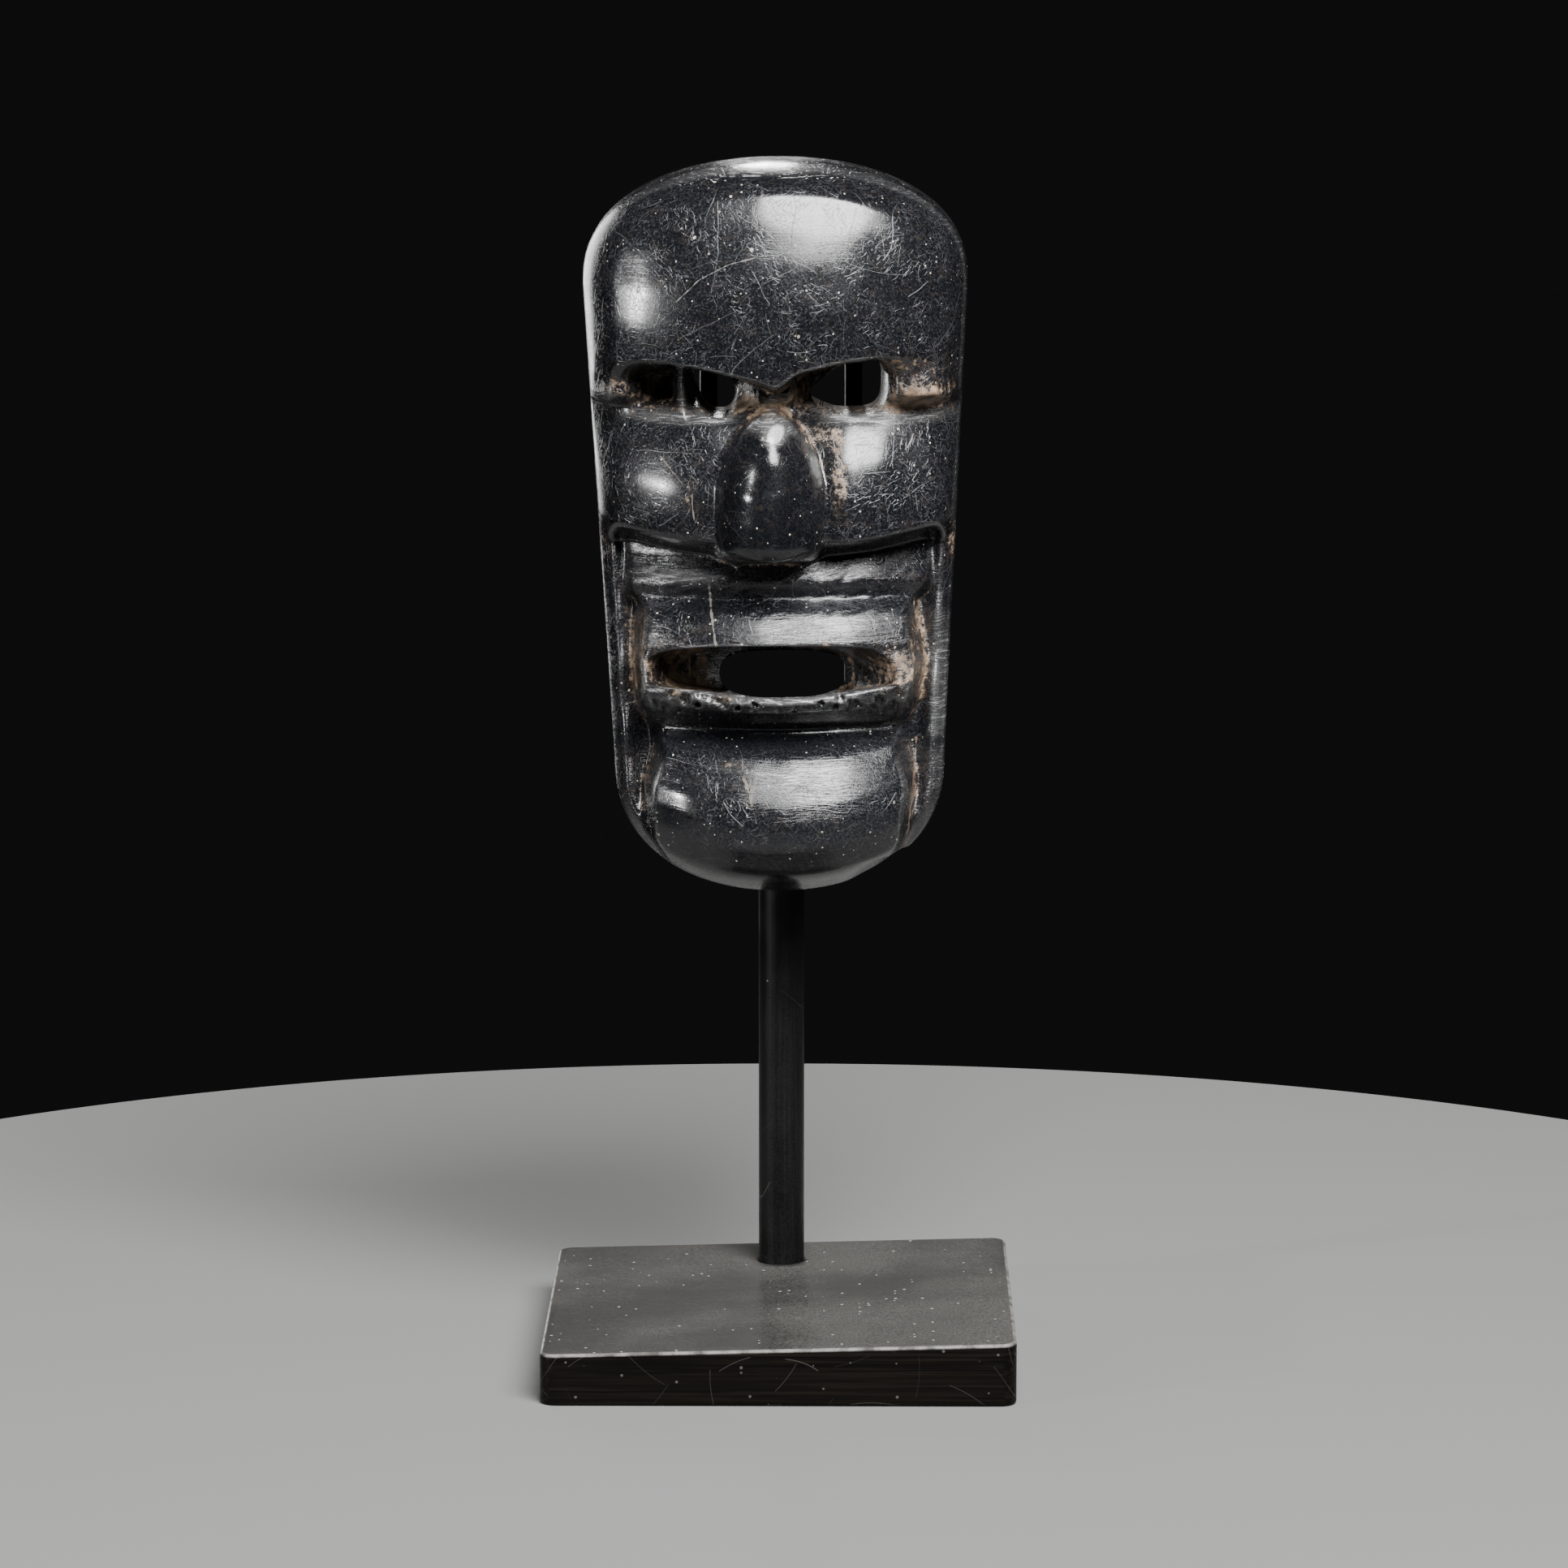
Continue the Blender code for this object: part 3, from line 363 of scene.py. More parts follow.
def front(a, h):
    """Depth of the carved front: the forms, rounded at the rim by a quarter ellipse and let down
    to the back at each hole."""
    t = h / MASK_HEIGHT
    radius = BARREL_RADIUS * half_width(t)
    sag = radius - np.sqrt(radius**2 - np.clip(np.abs(a), 0.0, 0.95 * radius) ** 2)
    foot = profile(np.abs(a) / MASK_HALF, CHEEK_FOOT, 0.05)
    below = foot - 0.012 - 0.03 * smooth_step(np.abs(a), 0.024, 0.033)
    lower = lower_face(a, h, t)
    depth = lower + (upper_face(a, t, sag) - lower) * smooth_step(t, below, foot + 0.016)
    depth = larger(depth, nose(a, t), NOSE_FILLET)
    uneven = UNEVENNESS * (1.0 - 0.5 * smooth_step(t, 0.74, 0.80))
    depth += uneven * ripple(a, h, UNEVEN_LENGTHS, 3) + tool_marks(a, h)

    edge = EDGE_LEVEL * MASK_DEPTH
    inset = np.clip(rim_distance(a, h) / profile(t, EDGE_ROUNDING, 0.03), 0.0, 1.0)
    depth = edge + (depth - edge) * np.sqrt(1.0 - (1.0 - inset) ** EDGE_POWER)

    back = hollow(a, h)
    for side in ("left", "right"):
        wall = np.clip((eye_reach(a, t, side) - 1.0) / EYE_HOLE["wall"], 0.0, 1.0)
        depth = back + (depth - back) * np.sqrt(1.0 - (1.0 - wall) ** 2)
    inner = mouth_reach(a, t, MOUTH_HOLE, MOUTH_HOLE_POWER) - 1.0
    outer = 1.0 - mouth_reach(a, t, MOUTH_SLOT, MOUTH_SLOT_POWER)
    side = smooth_step(a, -0.2 * MASK_WIDTH, 0.2 * MASK_WIDTH)
    floor = MASK_DEPTH * between(MOUTH_FLOOR_LEVEL, side)
    reach = np.clip(inner, 0.0, MOUTH_FLOOR_REACH) / MOUTH_FLOOR_REACH
    floor = floor * reach**MOUTH_FLOOR_POWER - back
    share = np.clip(floor / np.maximum(depth - back, 1e-6), 0.0, 1.0)
    share += (1.0 - share) * (1.0 - smooth_step(outer, 0.0, MOUTH_WALL))
    return back + (depth - back) * share * np.clip(inner / 0.12, 0.0, 1.0) ** 0.5


def lean(a, h, depth):
    """How far the surface leans over: the nose hooks down over the lip and the lower lip up over
    the mouth, each by a smooth step of its depth, and the outline's bite moves inwards."""
    t = h / MASK_HEIGHT
    level = depth / MASK_DEPTH
    up = LIP_HOOK * band(t, *LIP_HOOK_REACH) * smooth_step(level, 0.45, 0.85)
    up -= NOSE_HOOK * smooth_step(level, CHEEK["level"] + 0.04, 1.22)
    near = np.exp(-((rim_distance(a, h).clip(0.0) / OUTLINE_BITE["reach"]) ** 2))
    below = smooth_step(-h, -OUTLINE_BITE["height"] - OUTLINE_BITE["soft"], -OUTLINE_BITE["height"])
    bite = OUTLINE_BITE["depth"] * below * near * smooth_step(a, 0.010, 0.017)
    return a - bite, h + up


def outline(count_across, count_up):
    """The four sides of the outline, evenly spaced along it: each cap is cos and sin to the
    power 2/p, and the sides are the straight lines between the caps."""
    turn = np.linspace(0.0, 0.5 * math.pi, 400)
    x = np.cos(turn) ** (2.0 / CAP_POWER_ACROSS)
    y = np.sin(turn) ** (2.0 / CAP_POWER_UP)
    top = np.column_stack((MASK_HALF * x, MASK_HEIGHT * (TOP_CAP + (1.0 - TOP_CAP) * y)))
    bottom = np.column_stack((0.5 * MASK_JAW_WIDTH * x, MASK_HEIGHT * BOTTOM_CAP * (1.0 - y)))
    right = np.vstack((bottom[::-1], top))
    loop = np.vstack((right, (right * (-1.0, 1.0))[::-1][1:]))
    corner = len(turn) // 2
    marks = [len(turn) - 1 - corner, len(turn) + corner]
    marks += [len(loop) - 1 - marks[1], len(loop) - 1 - marks[0], marks[0] + len(loop) - 1]
    sides = []
    for start, stop, count in zip(marks, marks[1:], (count_up, count_across) * 2):
        run = loop[np.arange(start, stop + 1) % (len(loop) - 1)]
        length = np.concatenate(([0.0], np.cumsum(np.linalg.norm(np.diff(run, axis=0), axis=1))))
        even = np.linspace(0.0, length[-1], count + 1)
        sides.append(np.column_stack([np.interp(even, length, run[:, k]) for k in (0, 1)]))
    return sides


def block_ring(low_i, high_i, low_j, high_j):
    """Grid indices round a block of cells, anticlockwise from its lower left corner."""
    across = np.arange(low_i, high_i)
    up = np.arange(low_j, high_j)
    right, left = np.full(len(up), high_i), np.full(len(up), low_i)
    bottom, top = np.full(len(across), low_j), np.full(len(across), high_j)
    i = np.concatenate((across, right, across[::-1] + 1, left))
    j = np.concatenate((bottom, up, top, up[::-1] + 1))
    return i, j


def pin_edges(grid, scale):
    """Puts the grid's border on the outline and each hole's border on the hole's edge. Returns
    which points may still move."""
    cells = (MASK_CELLS[0] * scale, MASK_CELLS[1] * scale)
    right, top, left, bottom = outline(*cells)
    grid[:, 0], grid[-1, :], grid[:, -1], grid[0, :] = bottom, right, top[::-1], left[::-1]
    free = np.zeros(grid.shape[:2], bool)
    free[1:-1, 1:-1] = True
    for name, block in HOLE_CELLS.items():
        i0, i1, j0, j1 = (scale * k for k in block)
        corners = np.array([5, 7, 9, 11, 13]) * 0.25 * math.pi
        counts = (i1 - i0, j1 - j0, i1 - i0, j1 - j0)
        turns = [np.linspace(*corners[k : k + 2], n, endpoint=False) for k, n in enumerate(counts)]
        grid[block_ring(i0, i1, j0, j1)] = np.column_stack(hole_edge(name, np.concatenate(turns)))
        free[i0 : i1 + 1, j0 : j1 + 1] = False
    return free


def crowding(surface):
    """How closely the grid is spaced: sqrt(1 + slope^2) of the surface, capped and blurred."""
    step = CROWDING_STEP
    a = np.arange(-MASK_HALF, MASK_HALF + step, step)
    h = np.arange(0.0, MASK_HEIGHT + step, step)
    depth = surface(*np.meshgrid(a, h, indexing="ij"))
    slope = np.hypot(*np.gradient(depth, step)).clip(max=STEEPEST_WALL)
    weight = blur(np.hypot(1.0, slope), CROWDING_BLUR / step)
    return lambda x, y: weight[
        np.rint((x - a[0]) / step).astype(int).clip(0, len(a) - 1),
        np.rint(y / step).astype(int).clip(0, len(h) - 1),
    ]


def blur(values, reach):
    """Average of a 2-D array under a cosine window, both ways."""
    reach = int(round(reach))
    window = np.hanning(2 * reach + 3)[1:-1]
    window /= window.sum()
    for _ in (0, 1):
        padded = np.pad(values, ((reach, reach), (0, 0)), mode="edge")
        values = sum(w * padded[k : k + len(values)] for k, w in enumerate(window)).T
    return values


def relax(grid, weight, free, rounds):
    """Draws each free point towards its four neighbours, weighted, until the cells are even."""
    free = free[1:-1, 1:-1, None]
    for _ in range(rounds):
        w = weight(grid[..., 0], grid[..., 1])[..., None]
        across = w[1:] + w[:-1]
        up = w[:, 1:] + w[:, :-1]
        weights = (across[:-1, 1:-1], across[1:, 1:-1], up[1:-1, :-1], up[1:-1, 1:])
        places = (grid[:-2, 1:-1], grid[2:, 1:-1], grid[1:-1, :-2], grid[1:-1, 2:])
        pull = sum(k * p for k, p in zip(weights, places)) / sum(weights)
        inner = grid[1:-1, 1:-1]
        grid[1:-1, 1:-1] = np.where(free, 0.2 * inner + 0.8 * pull, inner)


def halved(grid):
    """The same grid with each cell halved both ways."""
    for axis in (0, 1):
        old = np.moveaxis(grid, axis, 0)
        new = np.empty((2 * len(old) - 1, *old.shape[1:]))
        new[::2] = old
        new[1::2] = 0.5 * (old[1:] + old[:-1])
        grid = np.moveaxis(new, 0, axis)
    return np.ascontiguousarray(grid)


def surface_grid(surface, refined):
    """Places (a, h) of a surface's grid: a patch blended from the four sides of the outline, then
    relaxed and halved in turn."""
    u = np.linspace(0.0, 1.0, MASK_CELLS[0] + 1)[:, None, None]
    v = np.linspace(0.0, 1.0, MASK_CELLS[1] + 1)[None, :, None]
    right, top, left, bottom = outline(*MASK_CELLS)
    left, top = left[::-1], top[::-1]
    grid = (1 - u) * left[None] + u * right[None] + (1 - v) * bottom[:, None] + v * top[:, None]
    grid -= (1 - u) * (1 - v) * bottom[0] + u * (1 - v) * bottom[-1]
    grid -= (1 - u) * v * top[0] + u * v * top[-1]
    weight = crowding(surface)
    relax(grid, weight, pin_edges(grid, 1), 600)
    scale = 1
    while scale < refined:
        grid = halved(grid)
        scale *= 2
        relax(grid, weight, pin_edges(grid, scale), 160)
    return grid


def quads(ids, solid, order):
    """The corners of a grid's solid cells, in the order given."""
    corners = (ids[:-1, :-1], ids[1:, :-1], ids[1:, 1:], ids[:-1, 1:])
    return np.column_stack([corners[k][solid] for k in order])


def solid_cells(scale):
    """True for each cell of the grid that isn't in a hole."""
    solid = np.ones((MASK_CELLS[0] * scale, MASK_CELLS[1] * scale), bool)
    for block in HOLE_CELLS.values():
        i0, i1, j0, j1 = (scale * k for k in block)
        solid[i0:i1, j0:j1] = False
    return solid


def mask_surface():
    """Front, sides and back as one closed skin: points, faces, and (a, h, depth) of each point.
    The back has half as many cells each way, so small triangles join it to the shared edges."""
    fine, coarse = MASK_REFINED, MASK_REFINED // 2
    front_grid = surface_grid(front, fine)
    back_grid = surface_grid(hollow, coarse)
    front_depth = front(front_grid[..., 0], front_grid[..., 1])
    back_depth = hollow(back_grid[..., 0], back_grid[..., 1])
    front_id = np.arange(front_depth.size).reshape(front_depth.shape)
    points = [np.dstack((front_grid, front_depth)).reshape(-1, 3)]
    ring = block_ring(0, front_id.shape[0] - 1, 0, front_id.shape[1] - 1)
    rings = [front_id[ring]]
    edge = points[0][rings[0]]
    middle = np.array((0.0, 0.5 * MASK_HEIGHT))
    reach = np.linalg.norm(edge[:, :2] - middle, axis=1)[:, None]
    for row in range(1, SIDE_ROWS):
        share = 1.0 - row / SIDE_ROWS
        depth = edge[:, 2] * share + BACK_EDGE_RADIUS * (1.0 - share)
        points.append(np.column_stack((edge[:, :2], depth)))
    for turn in QUARTER_TURNS:
        inset = BACK_EDGE_RADIUS * (1.0 - math.cos(turn))
        depth = np.full(len(edge), BACK_EDGE_RADIUS * (1.0 - math.sin(turn)))
        place = middle + (edge[:, :2] - middle) * (1.0 - inset / reach)
        points.append(np.column_stack((place, depth)))
    starts = np.cumsum([len(p) for p in points])
    rings += [start + np.arange(len(edge)) for start in starts[:-1]]

    back_id = starts[-1] + np.arange(back_depth.size).reshape(back_depth.shape)
    points.append(np.dstack((back_grid, back_depth)).reshape(-1, 3))
    back_ring = block_ring(0, back_id.shape[0] - 1, 0, back_id.shape[1] - 1)
    back_id[back_ring] = rings[-1][::2]
    joins = [(rings[-1], 1)]
    for block in HOLE_CELLS.values():
        loop = front_id[block_ring(*(fine * k for k in block))]
        back_id[block_ring(*(coarse * k for k in block))] = loop[::2]
        joins.append((loop, -1))
    faces = [quads(front_id, solid_cells(fine), (0, 1, 2, 3))]
    faces.append(quads(back_id, solid_cells(coarse), (3, 2, 1, 0)))
    for loop, way in joins:
        corners = (loop[::2], loop[1::2], np.roll(loop[::2], -1))
        faces.append(np.column_stack(corners[::way]))
    for near, far in zip(rings, rings[1:]):
        faces.append(np.column_stack((near, far, np.roll(far, -1), np.roll(near, -1))))
    return np.vstack(points), faces


def solid_mesh(name, points, faces):
    """A mesh of those points and faces, without the points that no face uses."""
    used = np.unique(np.concatenate([f.ravel() for f in faces]))
    renumbered = np.zeros(len(points), int)
    renumbered[used] = np.arange(len(used))
    mesh = bpy.data.meshes.new(name)
    corners = [face for group in faces for face in renumbered[group].tolist()]
    mesh.from_pydata(points[used], [], corners)
    mesh.shade_smooth()
    return mesh, used


def placed(a, h, depth):
    """The (x, y, z) of a point of the mask, which leans over and is turned by its roll."""
    a, h = lean(a, h, depth)
    x = a * math.cos(MASK_ROLL) - h * math.sin(MASK_ROLL)
    z = a * math.sin(MASK_ROLL) + h * math.cos(MASK_ROLL)
    return np.column_stack((x, MASK_BACK_Y - depth, MASK_FOOT_Z + z))


def add_piece(name, mesh, slot, *nodes):
    """An object of that mesh, which rides on the root and stands for those nodes."""
    piece = bpy.data.objects.new(name, mesh)
    bpy.context.scene.collection.objects.link(piece)
    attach(piece, "root")
    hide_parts(*nodes)


# Marks on the stone that the photograph shows, as lines of (place across, height) shares with
# their width in metres and how brown they are: a pale vein, scratches, and brown cracks.
MARKS = (
    (((-0.353, 0.436), (-0.340, 0.400), (-0.316, 0.358), (-0.308, 0.338)), 0.00022, 0.15),
    (((-0.500, 0.822), (-0.380, 0.852), (-0.230, 0.872), (-0.050, 0.884)), 0.00009, 0.0),
    (((0.535, 0.926), (0.556, 0.900), (0.566, 0.876)), 0.00007, 0.5),
    (((-0.590, 0.612), (-0.540, 0.596), (-0.480, 0.578)), 0.00008, 0.6),
    (((-0.430, 0.562), (-0.428, 0.545), (-0.420, 0.530)), 0.00010, 0.3),
    (((-0.180, 0.180), (-0.150, 0.163), (-0.140, 0.145)), 0.00030, 0.8),
    (((-0.110, 0.180), (-0.135, 0.163), (-0.140, 0.145)), 0.00030, 0.8),
    (((0.720, 0.215), (0.700, 0.150), (0.660, 0.075), (0.630, 0.050)), 0.00022, 1.0),
)
# Earth rubbed into the carving, besides what its recesses catch: (across, height, the reach of
# each, amount), the amount below nothing where the stone is clean
EARTH = (
    (0.14, 0.692, 0.13, 0.016, 1.1),
    (-0.16, 0.684, 0.13, 0.015, 1.1),
    (0.74, 0.690, 0.17, 0.024, 1.3),
    (0.55, 0.728, 0.30, 0.014, 0.30),
    (0.33, 0.585, 0.050, 0.055, 0.85),
    (0.24, 0.640, 0.090, 0.022, 0.60),
    (-0.86, 0.702, 0.09, 0.016, 0.6),
    (-0.66, 0.694, 0.13, 0.018, 0.8),
    (-0.45, 0.560, 0.035, 0.030, 0.35),
    (0.60, 0.318, 0.16, 0.040, 0.95),
    (-0.60, 0.318, 0.16, 0.040, 0.6),
    (-0.79, 0.400, 0.035, 0.070, 0.45),
    (0.80, 0.400, 0.040, 0.070, 0.16),
    (-0.92, 0.480, 0.05, 0.030, 0.7),
    (0.92, 0.485, 0.05, 0.040, 0.7),
    (0.42, 0.672, 0.34, 0.009, 0.7),
    (-0.45, 0.672, 0.34, 0.009, 0.5),
    (0.60, 0.735, 0.26, 0.010, 0.5),
    (-0.42, 0.315, 0.10, 0.040, 0.7),
    (0.77, 0.200, 0.02, 0.110, 0.35),
    (-0.77, 0.190, 0.02, 0.100, 0.35),
    (0.00, 0.224, 0.62, 0.020, -1.2),
    (-0.22, 0.197, 0.08, 0.008, 0.75),
    (0.60, 0.222, 0.05, 0.030, 0.6),
    (0.00, 0.412, 0.60, 0.016, -0.6),
    (-0.70, 0.370, 0.030, 0.055, 0.55),
    (0.72, 0.385, 0.035, 0.050, 0.42),
    (-0.52, 0.272, 0.035, 0.006, 0.8),
    (-0.27, 0.266, 0.045, 0.006, 0.8),
    (0.12, 0.268, 0.030, 0.005, 0.7),
    (0.23, 0.272, 0.030, 0.005, 0.7),
    (0.25, 0.358, 0.030, 0.008, 1.0),
)

# Places rubbed grey besides the edges, in the same way; the first, on top of the nose, is also a
# painted highlight
WORN_AND_HIGHLIT = (
    (0.00, 0.651, 0.050, 0.010, 2.4),
    (0.00, 0.682, 0.070, 0.008, 1.3),
    (0.58, 0.662, 0.36, 0.014, 0.95),
    (-0.50, 0.664, 0.36, 0.013, 0.70),
    (0.00, 0.264, 0.62, 0.005, 0.5),
    (0.00, 0.208, 0.70, 0.010, -1.0),
    (0.00, 0.400, 0.70, 0.010, -0.6),
    (-0.92, 0.690, 0.07, 0.020, 0.8),
    (0.84, 0.270, 0.07, 0.180, 0.62),
    (-0.86, 0.200, 0.05, 0.120, 0.30),
    (-0.50, 0.447, 0.28, 0.012, 0.7),
    (0.35, 0.452, 0.30, 0.014, 0.5),
    (-0.45, 0.385, 0.28, 0.014, 0.35),
)

# Places left dark and glossy, with few scratches, in the same way. Those under the chin and in
# the recess under the lower lip, and in part the one down the nose, are painted shade
POLISHED_AND_SHADED = (
    (-0.04, 0.565, 0.25, 0.105, 1.15),
    (0.00, 0.040, 0.70, 0.055, 0.95),
    (0.00, 0.222, 0.70, 0.016, 1.0),
    (0.00, 0.700, 0.35, 0.012, 0.5),
    (-0.54, 0.136, 0.17, 0.050, 1.1),
    (0.00, 0.100, 0.30, 0.030, 0.45),
)


# Grid step and reaches of the blurs that tell recesses from edges
VALUE_STEP = 0.00025
FINE_BLUR = 0.0009
WIDE_BLUR = 0.0045


def sampled(values, step, a, h):
    """Values of a grid of that step at the places (a, h), each a mean weighted between four."""
    i = ((a + MASK_HALF) / step).clip(0.0, values.shape[0] - 1.001)
    j = (h / step).clip(0.0, values.shape[1] - 1.001)
    low_i, low_j = i.astype(int), j.astype(int)
    i, j = i - low_i, j - low_j
    near = values[low_i, low_j] * (1 - i) + values[low_i + 1, low_j] * i
    far = values[low_i, low_j + 1] * (1 - i) + values[low_i + 1, low_j + 1] * i
    return near * (1 - j) + far * j


def patches(s, t, places):
    """Sum of soft patches: each is its amount times exp(-x^2 - y^2) of the place in its reaches."""
    total = np.zeros_like(s)
    for across, height, reach, rise, amount in places:
        total += amount * np.exp(-(((s - across) / reach) ** 2) - ((t - height) / rise) ** 2)
    return total


def mark_lines(s, t):
    """For the nearest mark: how many of its widths away it is, its strength, and its brown."""
    best = np.full(len(s), np.inf)
    offset, strength, brown = np.zeros((3, len(s)))
    scale = np.array((MASK_HALF, MASK_HEIGHT))
    place = np.column_stack((s, t)) * scale
    for line, width, colour in MARKS:
        line = np.array(line) * scale
        for k, (start, stop) in enumerate(zip(line, line[1:])):
            along = (stop - start) / np.linalg.norm(stop - start)
            reach = (place - start) @ along
            side = (place - start) @ np.array((-along[1], along[0]))
            beyond = np.maximum(-reach, reach - np.linalg.norm(stop - start))
            far = np.hypot(side, beyond.clip(0.0))
            near = far < best
            best[near] = far[near]
            offset[near] = (np.sign(side) * far)[near] / width
            loose = k in (0, len(line) - 2)
            strength[near] = (1.0 - smooth_step(beyond, -0.0004 if loose else 0.0, 0.0004))[near]
            brown[near] = colour
    return offset.clip(-9.0, 9.0), strength * (best < 0.001), brown


def add_values(mesh, name, values):
    """A float attribute of the mesh's points, which its material reads by name."""
    data = mesh.attributes.new(name, "FLOAT", "POINT").data
    data.foreach_set("value", values.astype(np.float32))


def mask_values(a, h, depth):
    """The mask's attributes. Its front less the same front blurred is low in a recess, which
    gathers earth, and high on an edge, which wears; the patches listed above are added to both.
    Where the front lies deep below its blur, the earth is darkened as painted shade, as is all the
    earth on the back; the polished patches are partly painted shade."""
    grid_a = np.arange(-MASK_HALF, MASK_HALF + VALUE_STEP, VALUE_STEP)
    grid_h = np.arange(0.0, MASK_HEIGHT + VALUE_STEP, VALUE_STEP)
    grid = front(*np.meshgrid(grid_a, grid_h, indexing="ij"))
    fine = sampled(blur(grid, FINE_BLUR / VALUE_STEP) - grid, VALUE_STEP, a, h)
    wide = sampled(blur(grid, WIDE_BLUR / VALUE_STEP) - grid, VALUE_STEP, a, h)
    on_front = smooth_step(depth, front(a, h) - 0.0015, front(a, h) - 0.0002)
    s, t = a / MASK_HALF, h / MASK_HEIGHT
    earth = 0.42 * smooth_step(wide, 0.0008, 0.0045) + 0.4 * smooth_step(fine, 0.00008, 0.00050)
    earth = earth * smooth_step(rim_distance(a, h), 0.0008, 0.0040) + patches(s, t, EARTH)
    behind = 0.45 * smooth_step(depth, 0.0020, 0.0110)
    edge = 0.42 * smooth_step(-fine, 0.00008, 0.00040)
    edge += 0.10 * smooth_step(-wide, 0.0006, 0.0025) + patches(s, t, WORN_AND_HIGHLIT)
    offset, strength, brown = mark_lines(s, t)
    return {
        "earth": earth * on_front + behind * (1.0 - on_front),
        "edge": edge * on_front,
        # partly polish, partly painted shade under the chin, under the lower lip and down the nose
        "polished_and_painted_shade": patches(s, t, POLISHED_AND_SHADED).clip(0.0, 1.0) * on_front,
        # painted shade: the earth turns almost black where the front lies deep, and all the back's
        # earth takes that tone
        "deep_painted_shade": smooth_step(wide, 0.0055, 0.0090) * on_front + 1.0 - on_front,
        "satin": (1.0 - smooth_step(t, 0.44, 0.52)) * on_front,
        "mark_offset": offset,
        "mark_strength": strength * on_front,
        "mark_brown": brown,
    }


def add_node(tree, kind, inputs=None, **settings):
    """A shader node with its settings, its inputs either joined to a socket or given a value."""
    node = tree.nodes.new("ShaderNode" + kind)
    for name, setting in settings.items():
        setattr(node, name, setting)
    for name, given in (inputs or {}).items():
        if isinstance(given, bpy.types.NodeSocket):
            tree.links.new(given, node.inputs[name])
        else:
            node.inputs[name].default_value = given
    return node


def math_node(tree, operation, *given):
    """The result of a sum on one, two or three values or sockets."""
    return add_node(tree, "Math", dict(enumerate(given)), operation=operation).outputs[0]


def vector_node(tree, operation, *given):
    """The node of a sum on vectors or sockets."""
    return add_node(tree, "VectorMath", dict(enumerate(given)), operation=operation)


def times(tree, first, second):
    """The product of two values or sockets."""
    return math_node(tree, "MULTIPLY", first, second)


def plus(tree, first, second):
    """The sum of two values or sockets."""
    return math_node(tree, "ADD", first, second)


def ramp(tree, given, low, high, start=0.0, end=1.0):
    """Smooth step of a socket between low and high, from start to end."""
    span = {"Value": given, "From Min": low, "From Max": high, "To Min": start, "To Max": end}
    return add_node(tree, "MapRange", span, interpolation_type="SMOOTHSTEP").outputs[0]


def mixed(tree, share, first, second):
    """A colour between the first and the second, by that share."""
    given = {0: share, 6: first, 7: second}
    return add_node(tree, "Mix", given, data_type="RGBA").outputs[2]


def layered(tree, colour, *layers):
    """Paints laid over a colour in turn, each by its share times its strength."""
    for share, strength, paint in layers:
        colour = mixed(tree, times(tree, share, strength), colour, paint)
    return colour


def summed(tree, value, *parts):
    """A value plus each part times its weight."""
    for part, weight in parts:
        value = plus(tree, value, times(tree, part, weight))
    return value


def noise(tree, place, scale, detail=2.0, roughness=0.5):
    """Cloudy noise from 0 to 1 of that scale per metre."""
    given = {"Vector": place, "Scale": scale, "Detail": detail, "Roughness": roughness}
    return add_node(tree, "TexNoise", given).outputs["Fac"]


def grain(tree, place, turn, scale, detail=3.0):
    """Noise drawn out into streaks: the place is turned, and then scaled along each axis."""
    given = {"Vector": place, "Rotation": turn, "Scale": scale}
    turned = add_node(tree, "Mapping", given).outputs[0]
    return noise(tree, turned, 1.0, detail, 0.6)


# How far each stroke bows, as a share of the square of its length over its cell
STROKE_BOW = 0.16


def strokes(tree, place, cells, width):
    """A fine line through each Voronoi cell: the cell's colour gives the direction of a plane
    through its centre, and the line is where that plane, bowed by the square of the distance from
    the centre, meets the surface."""
    cell = add_node(tree, "TexVoronoi", {"Vector": place, "Scale": cells})
    offset = vector_node(tree, "SUBTRACT", place, cell.outputs["Position"]).outputs[0]
    way = vector_node(tree, "SUBTRACT", cell.outputs["Color"], (0.5, 0.5, 0.5)).outputs[0]
    way = vector_node(tree, "NORMALIZE", way).outputs[0]
    far = vector_node(tree, "DOT_PRODUCT", offset, way).outputs["Value"]
    reach = vector_node(tree, "LENGTH", offset).outputs["Value"]
    bow = times(tree, times(tree, reach, reach), STROKE_BOW * cells)
    far = math_node(tree, "ABSOLUTE", math_node(tree, "SUBTRACT", far, bow))
    line = ramp(tree, far, 0.3 * width, width, 1.0, 0.0)
    bright = add_node(tree, "SeparateColor", {"Color": cell.outputs["Color"]}).outputs[1]
    return times(tree, line, ramp(tree, bright, 0.1, 0.9))


def specks(tree, place, cells, size, share):
    """A speck in some cells of a Voronoi pattern: its reach, which differs from cell to cell, less
    the distance from the cell's centre."""
    cell = add_node(tree, "TexVoronoi", {"Vector": place, "Scale": cells})
    picked = add_node(tree, "SeparateColor", {"Color": cell.outputs["Color"]}).outputs
    reach = ramp(tree, picked[0], 1.0 - share, 1.0, 0.0, size * cells)
    near = math_node(tree, "SUBTRACT", reach, cell.outputs["Distance"])
    return ramp(tree, near, 0.0, 0.25 * size * cells)


def attribute(tree, name):
    """The piece's own values of that name."""
    return add_node(tree, "Attribute", attribute_name=name).outputs["Fac"]


def largest(tree, *given):
    """The largest of several sockets."""
    result = given[0]
    for other in given[1:]:
        result = math_node(tree, "MAXIMUM", result, other)
    return result


